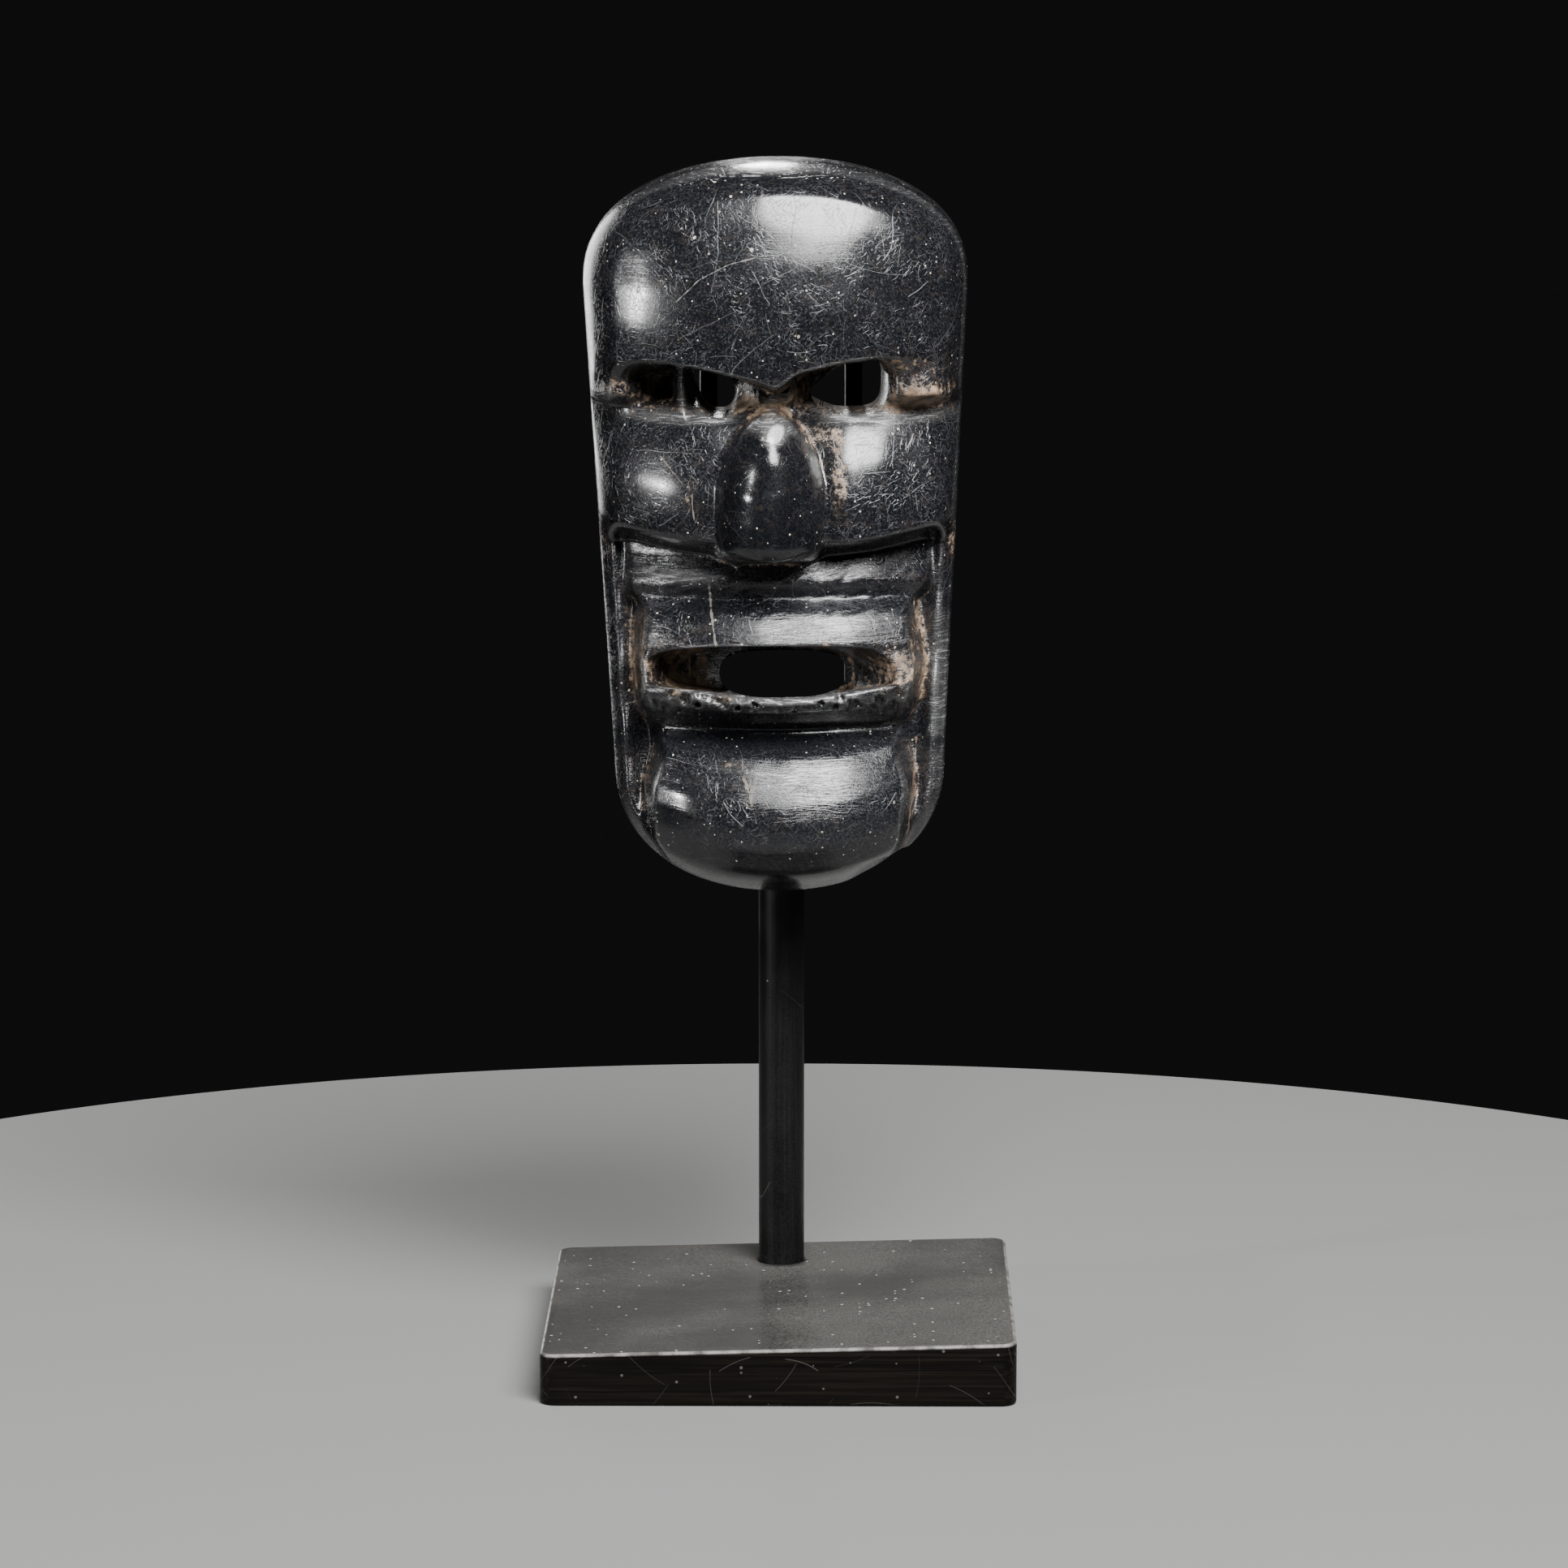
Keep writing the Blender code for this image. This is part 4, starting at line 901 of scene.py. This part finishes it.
def join_shader(tree, shader, colour, rough, height, distance, strength=0.5):
    """Joins colour and roughness to the shader, and a bump of that height, distance, strength."""
    given = {"Height": height, "Distance": distance, "Strength": strength}
    bump = add_node(tree, "Bump", given).outputs[0]
    for name, socket in (("Base Color", colour), ("Roughness", rough), ("Normal", bump)):
        tree.links.new(socket, shader.inputs[name])


def new_material(name):
    """A material with its tree, its shader and the place on the piece."""
    material = bpy.data.materials.new(name)
    material.use_nodes = True
    tree = material.node_tree
    place = add_node(tree, "TexCoord").outputs["Object"]
    return material, tree, tree.nodes["Principled BSDF"], place


# Colours of the stone: its grain, its scratches, its rubbed places and flecks, and its earth.
# The darkest earth is painted shade in deep recesses, and the rubbed grey on top of the nose is
# also a painted highlight
STONE_DARK = (0.0010, 0.0011, 0.0015, 1)
STONE_MIDDLE = (0.0025, 0.0026, 0.0032, 1)
STONE_LIGHT = (0.0050, 0.0053, 0.0068, 1)
STONE_SPECKLE = (0.040, 0.041, 0.046, 1)
HAIR_SCRATCH = (0.072, 0.072, 0.076, 1)
LONG_SCRATCH = (0.22, 0.22, 0.22, 1)
RUBBED_AND_HIGHLIT_STONE = (0.42, 0.42, 0.415, 1)
STONE_FLECK = (0.42, 0.38, 0.31, 1)
EARTH_DARK = (0.085, 0.054, 0.033, 1)
EARTH_PALE = (0.30, 0.215, 0.145, 1)
EARTH_IN_PAINTED_SHADE = (0.030, 0.019, 0.012, 1)
EARTH_FILM = (0.050, 0.037, 0.027, 1)
PALE_MARK = (0.20, 0.19, 0.17, 1)
BROWN_MARK = (0.20, 0.12, 0.075, 1)
# Scratches as (cells per metre, half thickness), the two long kinds first, and brush marks as
# (slant in degrees, noise per metre along and across them)
SCRATCHES = (
    (95.0, 0.00006), (210.0, 0.00006), (480.0, 0.00005), (700.0, 0.00005),
    (950.0, 0.00005), (1300.0, 0.00005),
)
BRUSHED_WAYS = ((8.0, 140.0, 4200.0), (-24.0, 160.0, 3600.0), (88.0, 160.0, 4000.0))
STONE_IOR = 1.52
STONE_BUMP = 0.00010


def stone_material():
    """Layers from the stone up: grain, scratches, rubbed edges, flecks, earth and marks, each
    mixed over the last by a share from 0 to 1, then the gloss and the relief of the same layers.
    The earth is darkened almost to black as painted shade where the recess is deep, and all the
    earth on the back takes that tone; the polished patches are partly painted shade, and the
    rubbed spot on top of the nose is also a painted highlight."""
    material, tree, shader, place = new_material("dark_stone")
    wander = {"Vector": place, "Scale": 70.0, "Detail": 2.0}
    wander = add_node(tree, "TexNoise", wander).outputs["Color"]
    wander = add_node(tree, "VectorMath", {0: wander, "Scale": 0.004}, operation="SCALE").outputs[0]
    bent = vector_node(tree, "ADD", place, wander).outputs[0]

    # fewer scratches and specks where polished, which is partly painted shade
    rubbed = math_node(tree, "MULTIPLY_ADD", attribute(tree, "polished_and_painted_shade"), -0.85, 1.0)
    cloud = noise(tree, place, 90.0, 4.0)
    mottle = noise(tree, place, 2600.0, 3.0, 0.8)
    body = mixed(tree, ramp(tree, mottle, 0.30, 0.60), STONE_DARK, STONE_LIGHT)
    body = mixed(tree, times(tree, ramp(tree, mottle, 0.53, 0.70), rubbed), body, STONE_SPECKLE)
    body = mixed(tree, ramp(tree, cloud, 0.3, 0.8, 0.0, 0.6), body, STONE_MIDDLE)

    layers = [strokes(tree, bent, cells, width) for cells, width in SCRATCHES]
    patchy = ramp(tree, noise(tree, place, 220.0, 3.0), 0.38, 0.62, 0.2, 1.0)
    scratches = times(tree, largest(tree, *layers[:2]), rubbed)
    hairs = times(tree, times(tree, largest(tree, *layers[2:]), patchy), rubbed)
    level, slanting, upright = (
        grain(tree, bent, (0.0, math.radians(turn), 0.0), (along, along, across))
        for turn, along, across in BRUSHED_WAYS
    )
    streaks = largest(tree, *(ramp(tree, g, 0.56, 0.72) for g in (level, slanting, upright)))

    edge = attribute(tree, "edge")
    # grey of rubbed edges and places; on top of the nose it is also a painted highlight
    worn = times(tree, ramp(tree, edge, 0.15, 1.0), ramp(tree, streaks, 0.0, 1.0, 0.15, 0.85))
    worn = largest(tree, worn, ramp(tree, edge, 1.1, 1.9))
    worn = times(tree, worn, ramp(tree, mottle, 0.35, 0.62, 0.55, 1.0))
    fine = specks(tree, place, 1100.0, 0.00020, 0.34)
    coarse = specks(tree, bent, 330.0, 0.00042, 0.14)
    flecks = times(tree, largest(tree, fine, coarse), ramp(tree, cloud, 0.35, 0.65, 0.3, 1.0))

    dirt = noise(tree, place, 700.0, 5.0, 0.7)
    ragged = plus(tree, attribute(tree, "earth"), ramp(tree, dirt, 0.25, 0.75, -0.55, 0.55))
    ragged = math_node(tree, "SUBTRACT", ragged, times(tree, streaks, 0.25))
    earth = ramp(tree, ragged, 0.55, 1.05)
    tone = ramp(tree, noise(tree, bent, 600.0, 4.0), 0.35, 0.7)
    tone = mixed(tree, tone, EARTH_DARK, EARTH_PALE)
    # painted shade: the earth turns almost black where the recess is deep, and on the back
    tone = mixed(tree, attribute(tree, "deep_painted_shade"), tone, EARTH_IN_PAINTED_SHADE)

    offset = math_node(tree, "ABSOLUTE", attribute(tree, "mark_offset"))
    offset = plus(tree, offset, ramp(tree, noise(tree, place, 900.0), 0.3, 0.7, -0.5, 0.8))
    mark = times(tree, ramp(tree, offset, 0.4, 1.2, 1.0, 0.0), attribute(tree, "mark_strength"))
    mark_tone = mixed(tree, attribute(tree, "mark_brown"), PALE_MARK, BROWN_MARK)
    film = ramp(tree, ragged, 0.0, 0.9)
    colour = layered(
        tree, body, (hairs, 0.52, HAIR_SCRATCH), (scratches, 0.16, LONG_SCRATCH),
        (worn, 0.85, RUBBED_AND_HIGHLIT_STONE), (flecks, 1.0, STONE_FLECK), (film, 0.35, EARTH_FILM),
        (earth, 0.9, tone), (mark, 0.42, mark_tone),
    )

    brushed = ramp(tree, largest(tree, level, slanting), 0.42, 0.66)
    brushed = times(tree, times(tree, attribute(tree, "satin"), rubbed), brushed)
    rough = ramp(tree, noise(tree, place, 3800.0, 3.0, 0.7), 0.40, 0.68, 0.145, 0.26)
    rough = plus(tree, rough, ramp(tree, noise(tree, place, 130.0, 3.0), 0.35, 0.7, -0.03, 0.06))
    dull = largest(tree, earth, mark, flecks)
    rough = summed(tree, rough, (hairs, 0.10), (dull, 0.45), (brushed, 0.05))
    height = times(tree, largest(tree, hairs, scratches), -0.4)
    height = summed(
        tree, height, (brushed, -0.46), (mottle, 0.12),
        (streaks, ramp(tree, edge, 0.0, 1.0, 0.05, 0.35)),
        (earth, ramp(tree, dirt, 0.3, 0.7, 0.2, 1.4)),
    )
    shader.inputs["IOR"].default_value = STONE_IOR
    join_shader(tree, shader, colour, rough, height, STONE_BUMP, 0.55)
    return material


mask_points, mask_faces = mask_surface()
mask_mesh, used_points = solid_mesh("carved_mask", placed(*mask_points.T), mask_faces)
for name, values in mask_values(*mask_points[used_points].T).items():
    add_values(mask_mesh, name, values)
mask_mesh.materials.append(stone_material())
add_piece("carved_mask", mask_mesh, "stone_mask", "stone_mask")


# The rod: a bar of round mild steel, blackened and waxed, turned flat at both ends with small
# chamfers. It stands in the base's blind hole and carries the fork on its top.
ROD_CHAMFER = 0.0003
rod_low, rod_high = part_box("steel_rod")
ROD_RADIUS = 0.5 * (rod_high[0] - rod_low[0])
ROD_PLACE = np.array((0.5 * (rod_low[0] + rod_high[0]), 0.5 * (rod_low[1] + rod_high[1])))
STEEL_DARK = (0.0012, 0.0012, 0.0013, 1)
STEEL_LIGHT = (0.0036, 0.0036, 0.0038, 1)
STEEL_DRAWN = (0.0060, 0.0058, 0.0055, 1)
STEEL_DUST = (0.20, 0.19, 0.17, 1)
STEEL_LINT = (0.10, 0.10, 0.10, 1)
STEEL_SPECULAR = 0.15
STEEL_BUMP = 0.00006


def swept(name, sections):
    """A skin through equal rings of points, each end closed by a fan to its middle."""
    rings = np.array(sections)
    count, around = rings.shape[:2]
    ids = np.arange(count * around).reshape(count, around)
    near, far = ids[:-1], ids[1:]
    skin = np.stack((near, np.roll(near, -1, 1), np.roll(far, -1, 1), far), axis=-1).reshape(-1, 4)
    points = np.vstack((rings.reshape(-1, 3), rings[0].mean(0), rings[-1].mean(0)))
    first = np.column_stack((np.roll(ids[0], -1), ids[0], np.full(around, count * around)))
    last = np.column_stack((ids[-1], np.roll(ids[-1], -1), np.full(around, count * around + 1)))
    return solid_mesh(name, points, [skin, first, last])[0]


def rod_mesh():
    """Circles up an axis: their radius is the rod's, less the chamfer at each end."""
    turn = np.linspace(0.0, 2.0 * math.pi, 96, endpoint=False)
    length = rod_high[2] - rod_low[2]
    heights = np.linspace(ROD_CHAMFER, length - ROD_CHAMFER, 60)
    heights = rod_low[2] + np.concatenate(([0.0, 0.0], heights, [length, length]))
    radii = np.full(len(heights), ROD_RADIUS)
    radii[[0, -1]] = 0.5 * ROD_RADIUS
    radii[[1, -2]] = ROD_RADIUS - ROD_CHAMFER
    circle = np.column_stack((np.cos(turn), np.sin(turn)))
    rings = np.empty((len(heights), len(turn), 3))
    rings[..., :2] = ROD_PLACE + radii[:, None, None] * circle
    rings[..., 2] = heights[:, None]
    return swept("steel_bar", rings)


def steel_material():
    """Dark steel with lines drawn up the bar by noise 55 times longer than wide, then dust in
    some cells of a Voronoi pattern and a few threads of lint."""
    material, tree, shader, place = new_material("blackened_steel")
    fine = noise(tree, place, 2600.0, 3.0, 0.7)
    drawn = grain(tree, place, (0.0, 0.0, 0.0), (2200.0, 2200.0, 40.0))
    cloud = noise(tree, place, 160.0, 4.0)
    dust = specks(tree, place, 420.0, 0.00035, 0.10)
    lint = strokes(tree, place, 90.0, 0.00005)
    colour = mixed(tree, ramp(tree, fine, 0.35, 0.7), STEEL_DARK, STEEL_LIGHT)
    drawn_share = ramp(tree, drawn, 0.45, 0.75)
    paints = ((drawn_share, 0.6, STEEL_DRAWN), (dust, 0.7, STEEL_DUST), (lint, 0.25, STEEL_LINT))
    colour = layered(tree, colour, *paints)
    rough = summed(tree, ramp(tree, cloud, 0.3, 0.7, 0.32, 0.44), (dust, 0.3))
    height = summed(tree, fine, (drawn, 0.5))
    shader.inputs["Specular IOR Level"].default_value = STEEL_SPECULAR
    join_shader(tree, shader, colour, rough, height, STEEL_BUMP)
    return material


steel = steel_material()
rod_bar = rod_mesh()
rod_bar.materials.append(steel)
add_piece("steel_bar", rod_bar, "steel_rod", "steel_rod")


# The fork: one steel wire bent cold and blackened like the rod. Its middle crosses the top of
# the rod, and its two arms run forward under the mask and turn up into the hollow.
WIRE_BEND_RADIUS = 0.0035
WIRE_END_ROUNDING = 0.0004
PRONG_SPACING = 0.025
fork_low, fork_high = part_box("wire_fork")
WIRE_RADIUS = 0.5 * (fork_high[0] - fork_low[0] - PRONG_SPACING)


def bent_line(corners, radius, steps=14):
    """A line through the corners, each bend an arc of that radius about a centre on the line that
    halves the corner's angle, and the straights divided evenly."""
    line = [Vector(corners[0])]
    for before, corner, after in zip(corners, corners[1:], corners[2:]):
        before, corner, after = Vector(before), Vector(corner), Vector(after)
        back, ahead = (before - corner).normalized(), (after - corner).normalized()
        half = 0.5 * back.angle(ahead)
        centre = corner + (back + ahead).normalized() * (radius / math.sin(half))
        start = (corner + back * (radius / math.tan(half)) - centre).normalized()
        stop = (corner + ahead * (radius / math.tan(half)) - centre).normalized()
        arc = (start.slerp(stop, k / steps).normalized() for k in range(steps + 1))
        line += [centre + radius * spoke for spoke in arc]
    return np.array(line + [Vector(corners[-1])])


def wire_mesh(name, line, radius, around=28):
    """Circles carried along a line, each square to it, smaller at both ends by a quarter circle."""
    tangents = np.gradient(line, axis=0)
    tangents /= np.linalg.norm(tangents, axis=1)[:, None]
    turn = np.linspace(0.0, 2.0 * math.pi, around, endpoint=False)
    normal = np.array((1.0, 0.0, 0.0))
    rings = []
    for k, (point, tangent) in enumerate(zip(line, tangents)):
        normal = normal - tangent * (normal @ tangent)
        normal /= np.linalg.norm(normal)
        spokes = np.outer(np.cos(turn), normal) + np.outer(np.sin(turn), np.cross(tangent, normal))
        if k in (0, len(line) - 1):
            inwards = tangent if k == 0 else -tangent
            ends = [
                point + (1 - math.sin(q)) * WIRE_END_ROUNDING * inwards
                + (radius - WIRE_END_ROUNDING * (1 - math.cos(q))) * spokes
                for q in np.radians((0.0, 30.0, 60.0, 90.0))
            ]
            ends.append(point + 0.5 * (radius - WIRE_END_ROUNDING) * spokes)
            rings += ends[::-1] if k == 0 else ends
        else:
            rings.append(point + radius * spokes)
    return swept(name, rings)


arm_x = fork_high[0] - WIRE_RADIUS
arm_y, arm_z = fork_low[1] + WIRE_RADIUS, fork_low[2] + WIRE_RADIUS
bar_y = fork_high[1] - WIRE_RADIUS
fork_corners = [(-arm_x, arm_y, fork_high[2]), (-arm_x, arm_y, arm_z), (-arm_x, bar_y, arm_z)]
fork_corners += [(-x, y, z) for x, y, z in reversed(fork_corners)]
fork_wire = wire_mesh("fork_wire", bent_line(fork_corners, WIRE_BEND_RADIUS), WIRE_RADIUS)
fork_wire.materials.append(steel)
add_piece("fork_wire", fork_wire, "wire_fork", "wire_fork")


# The base: a square block of close-grained wood, stained black and waxed, a little thicker at
# one end. Its corners are rounded and its top edges rubbed, and painted light there as a
# highlight too; grey dust lies on its top.
BASE_CORNER_RADIUS = 0.0028
BASE_ARRIS = 0.0006
BASE_FALL = 0.0020
BORE_GAP = 0.0003
BASE_WAVE = 0.00006
BASE_WAVES = (0.031, 0.022, 0.017)
base_low, base_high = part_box("wood_base")
BASE_WIDTH, BASE_DEPTH = base_high[0] - base_low[0], base_high[1] - base_low[1]
WOOD_DARK = (0.0010, 0.0008, 0.0006, 1)
WOOD_LIGHT = (0.0050, 0.0041, 0.0031, 1)
WOOD_BAND = (0.0024, 0.0019, 0.0014, 1)
WOOD_RUBBED_AND_HIGHLIT = (0.20, 0.19, 0.18, 1)
DUST_FILM = (0.120, 0.117, 0.110, 1)
DUST_GRIT = (0.30, 0.29, 0.27, 1)
DUST_LINT = (0.22, 0.22, 0.21, 1)
WOOD_SPECULAR = 0.07
WOOD_BUMP = 0.00008


def base_top(x):
    """Height of the base's top, which falls evenly from one end to the other."""
    return base_high[2] - BASE_FALL * (0.5 - x / BASE_WIDTH)


def base_mesh():
    """A profile carried round a square with rounded corners: underside, side, top and bore. The
    top's rings run from that square to the bore's circle."""
    quarter = np.linspace(0.0, 0.5 * math.pi, 9)
    straight = np.linspace(0.0, 1.0, 45, endpoint=False)[1:]
    inner = np.array((0.5 * BASE_WIDTH, 0.5 * BASE_DEPTH)) - BASE_CORNER_RADIUS
    centres, spokes = [], []
    for k in range(4):
        middle = inner * ((1, 1), (-1, 1), (-1, -1), (1, -1))[k]
        following = inner * ((-1, 1), (-1, -1), (1, -1), (1, 1))[k]
        turn = quarter + 0.5 * math.pi * k
        arc = np.column_stack((np.cos(turn), np.sin(turn)))
        side = middle + straight[:, None] * (following - middle)
        centres += [np.repeat(middle[None], len(turn), 0), side]
        spokes += [arc, np.repeat(arc[-1:], len(straight), 0)]
    centres, spokes = np.vstack(centres), np.vstack(spokes)
    angle = np.arctan2(*(centres + BASE_CORNER_RADIUS * spokes - ROD_PLACE).T[::-1])
    circle = np.column_stack((np.cos(angle), np.sin(angle)))
    rings, dust, wear_and_highlight = [], [], []

    def inwards(inset):
        """The rounded square, that far inside the base's sides."""
        return centres + (BASE_CORNER_RADIUS - inset) * spokes

    def add_ring(place, height, dusty=0.0, worn=0.0):
        """A ring at those places and heights, with how dusty it is and how much its arris is worn
        and painted with a highlight.
        """
        rings.append(np.column_stack((place, np.broadcast_to(height, len(place)))))
        dust.append(np.full(len(place), dusty))
        wear_and_highlight.append(np.full(len(place), worn))

    for share in (0.25, 0.5, 0.75, 0.92):
        add_ring(inwards(BASE_ARRIS) * share, base_low[2])
    for turn in QUARTER_TURNS:
        rise = BASE_ARRIS * (1.0 - math.cos(turn))
        add_ring(inwards(BASE_ARRIS * (1.0 - math.sin(turn))), base_low[2] + rise)
    foot, head = rings[-1][:, 2], base_top(inwards(0.0)[:, 0]) - BASE_ARRIS
    for share in np.linspace(0.0, 1.0, 10)[1:-1]:
        add_ring(inwards(0.0), foot + (head - foot) * share)
    for turn in QUARTER_TURNS:
        place = inwards(BASE_ARRIS * (1.0 - math.cos(turn)))
        height = base_top(place[:, 0]) - BASE_ARRIS * (1.0 - math.sin(turn))
        # the arris's wear, which also paints a highlight along the top edge
        worn = math.sin(2.0 * turn) ** 0.5 if 0.0 < turn < 1.5 else 0.0
        add_ring(place, height, math.sin(turn) ** 2, worn)
    edge = rings[-1][:, :2]
    mouth = ROD_PLACE + (ROD_RADIUS + BORE_GAP) * circle
    for share in np.linspace(0.0, 1.0, 30)[1:]:
        place = edge + (mouth - edge) * share
        wave = ripple(place[:, 0], place[:, 1], BASE_WAVES, 4) * min(1.0, 8 * share)
        height = base_top(place[:, 0]) + BASE_WAVE * (wave - 1.0) * (share < 1)
        add_ring(place, height, 1.0)
    floor_z = rod_low[2] - BORE_GAP
    for share in (0.33, 0.66, 1.0):
        add_ring(mouth, rings[-1][:, 2] * (1 - share) + floor_z * share)
    add_ring(ROD_PLACE + 0.5 * (ROD_RADIUS + BORE_GAP) * circle, floor_z)
    mesh = swept("wood_block", rings)
    add_values(mesh, "dust", np.concatenate(dust + [np.zeros(2)]))
    add_values(mesh, "wear_and_highlight", np.concatenate(wear_and_highlight + [np.zeros(2)]))
    return mesh


def wood_material():
    """Dark wood with grain across the base, noise 54 times longer than wide; then the film of
    dust, grit and lint that lies on its top, and the rubbed arrises, painted light as wear and as a
    highlight."""
    material, tree, shader, place = new_material("ebonised_wood")
    lines = grain(tree, place, (0.0, 0.0, 0.0), (28.0, 1500.0, 1500.0), 4.0)
    bands = grain(tree, place, (0.0, 0.0, 0.0), (9.0, 260.0, 260.0))
    powder = noise(tree, place, 2400.0, 4.0, 0.8)
    wiped = noise(tree, place, 34.0, 3.0)
    dust = attribute(tree, "dust")
    lying = times(tree, dust, ramp(tree, powder, 0.3, 0.75, 0.25, 1.0))
    lying = times(tree, lying, ramp(tree, wiped, 0.3, 0.7, 0.35, 1.0))
    fine = specks(tree, place, 650.0, 0.00030, 0.35)
    grit = largest(tree, fine, specks(tree, place, 240.0, 0.00045, 0.12))
    grit = times(tree, grit, ramp(tree, dust, 0.0, 1.0, 0.12, 0.8))
    lint = strokes(tree, place, 130.0, 0.00004)
    patchy = ramp(tree, noise(tree, place, 300.0, 4.0), 0.35, 0.6, 0.2, 1.0)
    # rubbed arrises: worn wood and painted highlight
    rubbed = times(tree, attribute(tree, "wear_and_highlight"), patchy)

    colour = layered(
        tree, mixed(tree, ramp(tree, lines, 0.4, 0.7), WOOD_DARK, WOOD_LIGHT),
        (ramp(tree, bands, 0.4, 0.7), 0.5, WOOD_BAND), (lying, 0.55, DUST_FILM),
        (grit, 1.0, DUST_GRIT), (lint, 0.12, DUST_LINT), (rubbed, 0.7, WOOD_RUBBED_AND_HIGHLIT),
    )
    rough = summed(tree, ramp(tree, lying, 0.0, 0.8, 0.38, 0.85), (rubbed, -0.25))
    height = summed(tree, grit, (lines, 0.6), (powder, 0.3))
    shader.inputs["Specular IOR Level"].default_value = WOOD_SPECULAR
    join_shader(tree, shader, colour, rough, height, WOOD_BUMP)
    return material


base_block = base_mesh()
base_block.materials.append(wood_material())
add_piece("wood_block", base_block, "wood_base", "wood_base")


# The table and the lights: a plain grey round table top in a dark room, under a large softbox
# high on the right. A small hard light stands low on the left, a weak round one behind, which
# shows the back, and a small one behind and above touches the top of the mask.
TABLE_RADIUS = 0.25
TABLE_COLOUR = (0.120, 0.119, 0.117, 1)
TABLE_ROUGHNESS = 0.9
ROOM_COLOUR = (0.006, 0.006, 0.0065, 1)
LIT_POINT = (0.0, 0.0, 0.13)
# Each light's turn and lift in degrees, distance, width, height, watts, and spread in degrees
LIGHTS = {
    "softbox": (22.0, 44.0, 1.20, 0.98, 0.74, 40.0, 120.0),
    "side_light": (-62.0, 5.0, 1.10, 0.055, 0.050, 7.5, 180.0),
    "back_light": (206.0, 5.0, 1.40, 0.60, 0.60, 4.8, 180.0),
    "top_strip": (1.5, 158.0, 0.90, 0.05, 0.08, 0.6, 180.0),
}
CAMERA_PLACE = (0.00973, -1.0818, 0.2691)
CAMERA_TURN = (math.radians(90.0 - 8.92), 0.0, math.radians(0.48))
CAMERA_SENSOR = 36.0
CAMERA_LENS = 146.83


def add_table():
    """A flat disc, cos and sin of 180 angles, level with the underside of the base."""
    mesh = bpy.data.meshes.new("table")
    turn = np.linspace(0.0, 2.0 * math.pi, 180, endpoint=False)
    rim = TABLE_RADIUS * np.column_stack((np.cos(turn), np.sin(turn), 0.0 * turn))
    mesh.from_pydata(rim, [], [list(range(len(turn)))])
    material, _, shader, _ = new_material("pale_table")
    shader.inputs["Base Color"].default_value = TABLE_COLOUR
    shader.inputs["Roughness"].default_value = TABLE_ROUGHNESS
    mesh.materials.append(material)
    table = bpy.data.objects.new("table", mesh)
    bpy.context.scene.collection.objects.link(table)


def add_light(name, turn, lift, distance, width, height, watts, spread):
    """An oval of light that faces the mask from that turn to the right and that lift: its way is
    (sin turn cos lift, -cos turn cos lift, sin lift)."""
    turn, lift = math.radians(turn), math.radians(lift)
    way = (math.sin(turn) * math.cos(lift), -math.cos(turn) * math.cos(lift), math.sin(lift))
    way = Vector(way)
    lamp = bpy.data.lights.new(name, "AREA")
    lamp.shape = "ELLIPSE"
    lamp.size = width
    lamp.size_y = height
    lamp.energy = watts
    lamp.spread = math.radians(spread)
    light = bpy.data.objects.new(name, lamp)
    light.location = Vector(LIT_POINT) + distance * way
    light.rotation_euler = way.to_track_quat("Z", "Y").to_euler()
    bpy.context.scene.collection.objects.link(light)


add_table()
for name, setting in LIGHTS.items():
    add_light(name, *setting)
world = bpy.data.worlds.new("studio")
world.use_nodes = True
world.node_tree.nodes["Background"].inputs["Color"].default_value = ROOM_COLOUR
bpy.context.scene.world = world

camera = bpy.data.objects.new("camera", bpy.data.cameras.new("camera"))
camera.data.sensor_width = CAMERA_SENSOR
camera.data.lens = CAMERA_LENS
camera.location = CAMERA_PLACE
camera.rotation_euler = CAMERA_TURN
bpy.context.scene.collection.objects.link(camera)
bpy.context.scene.camera = camera
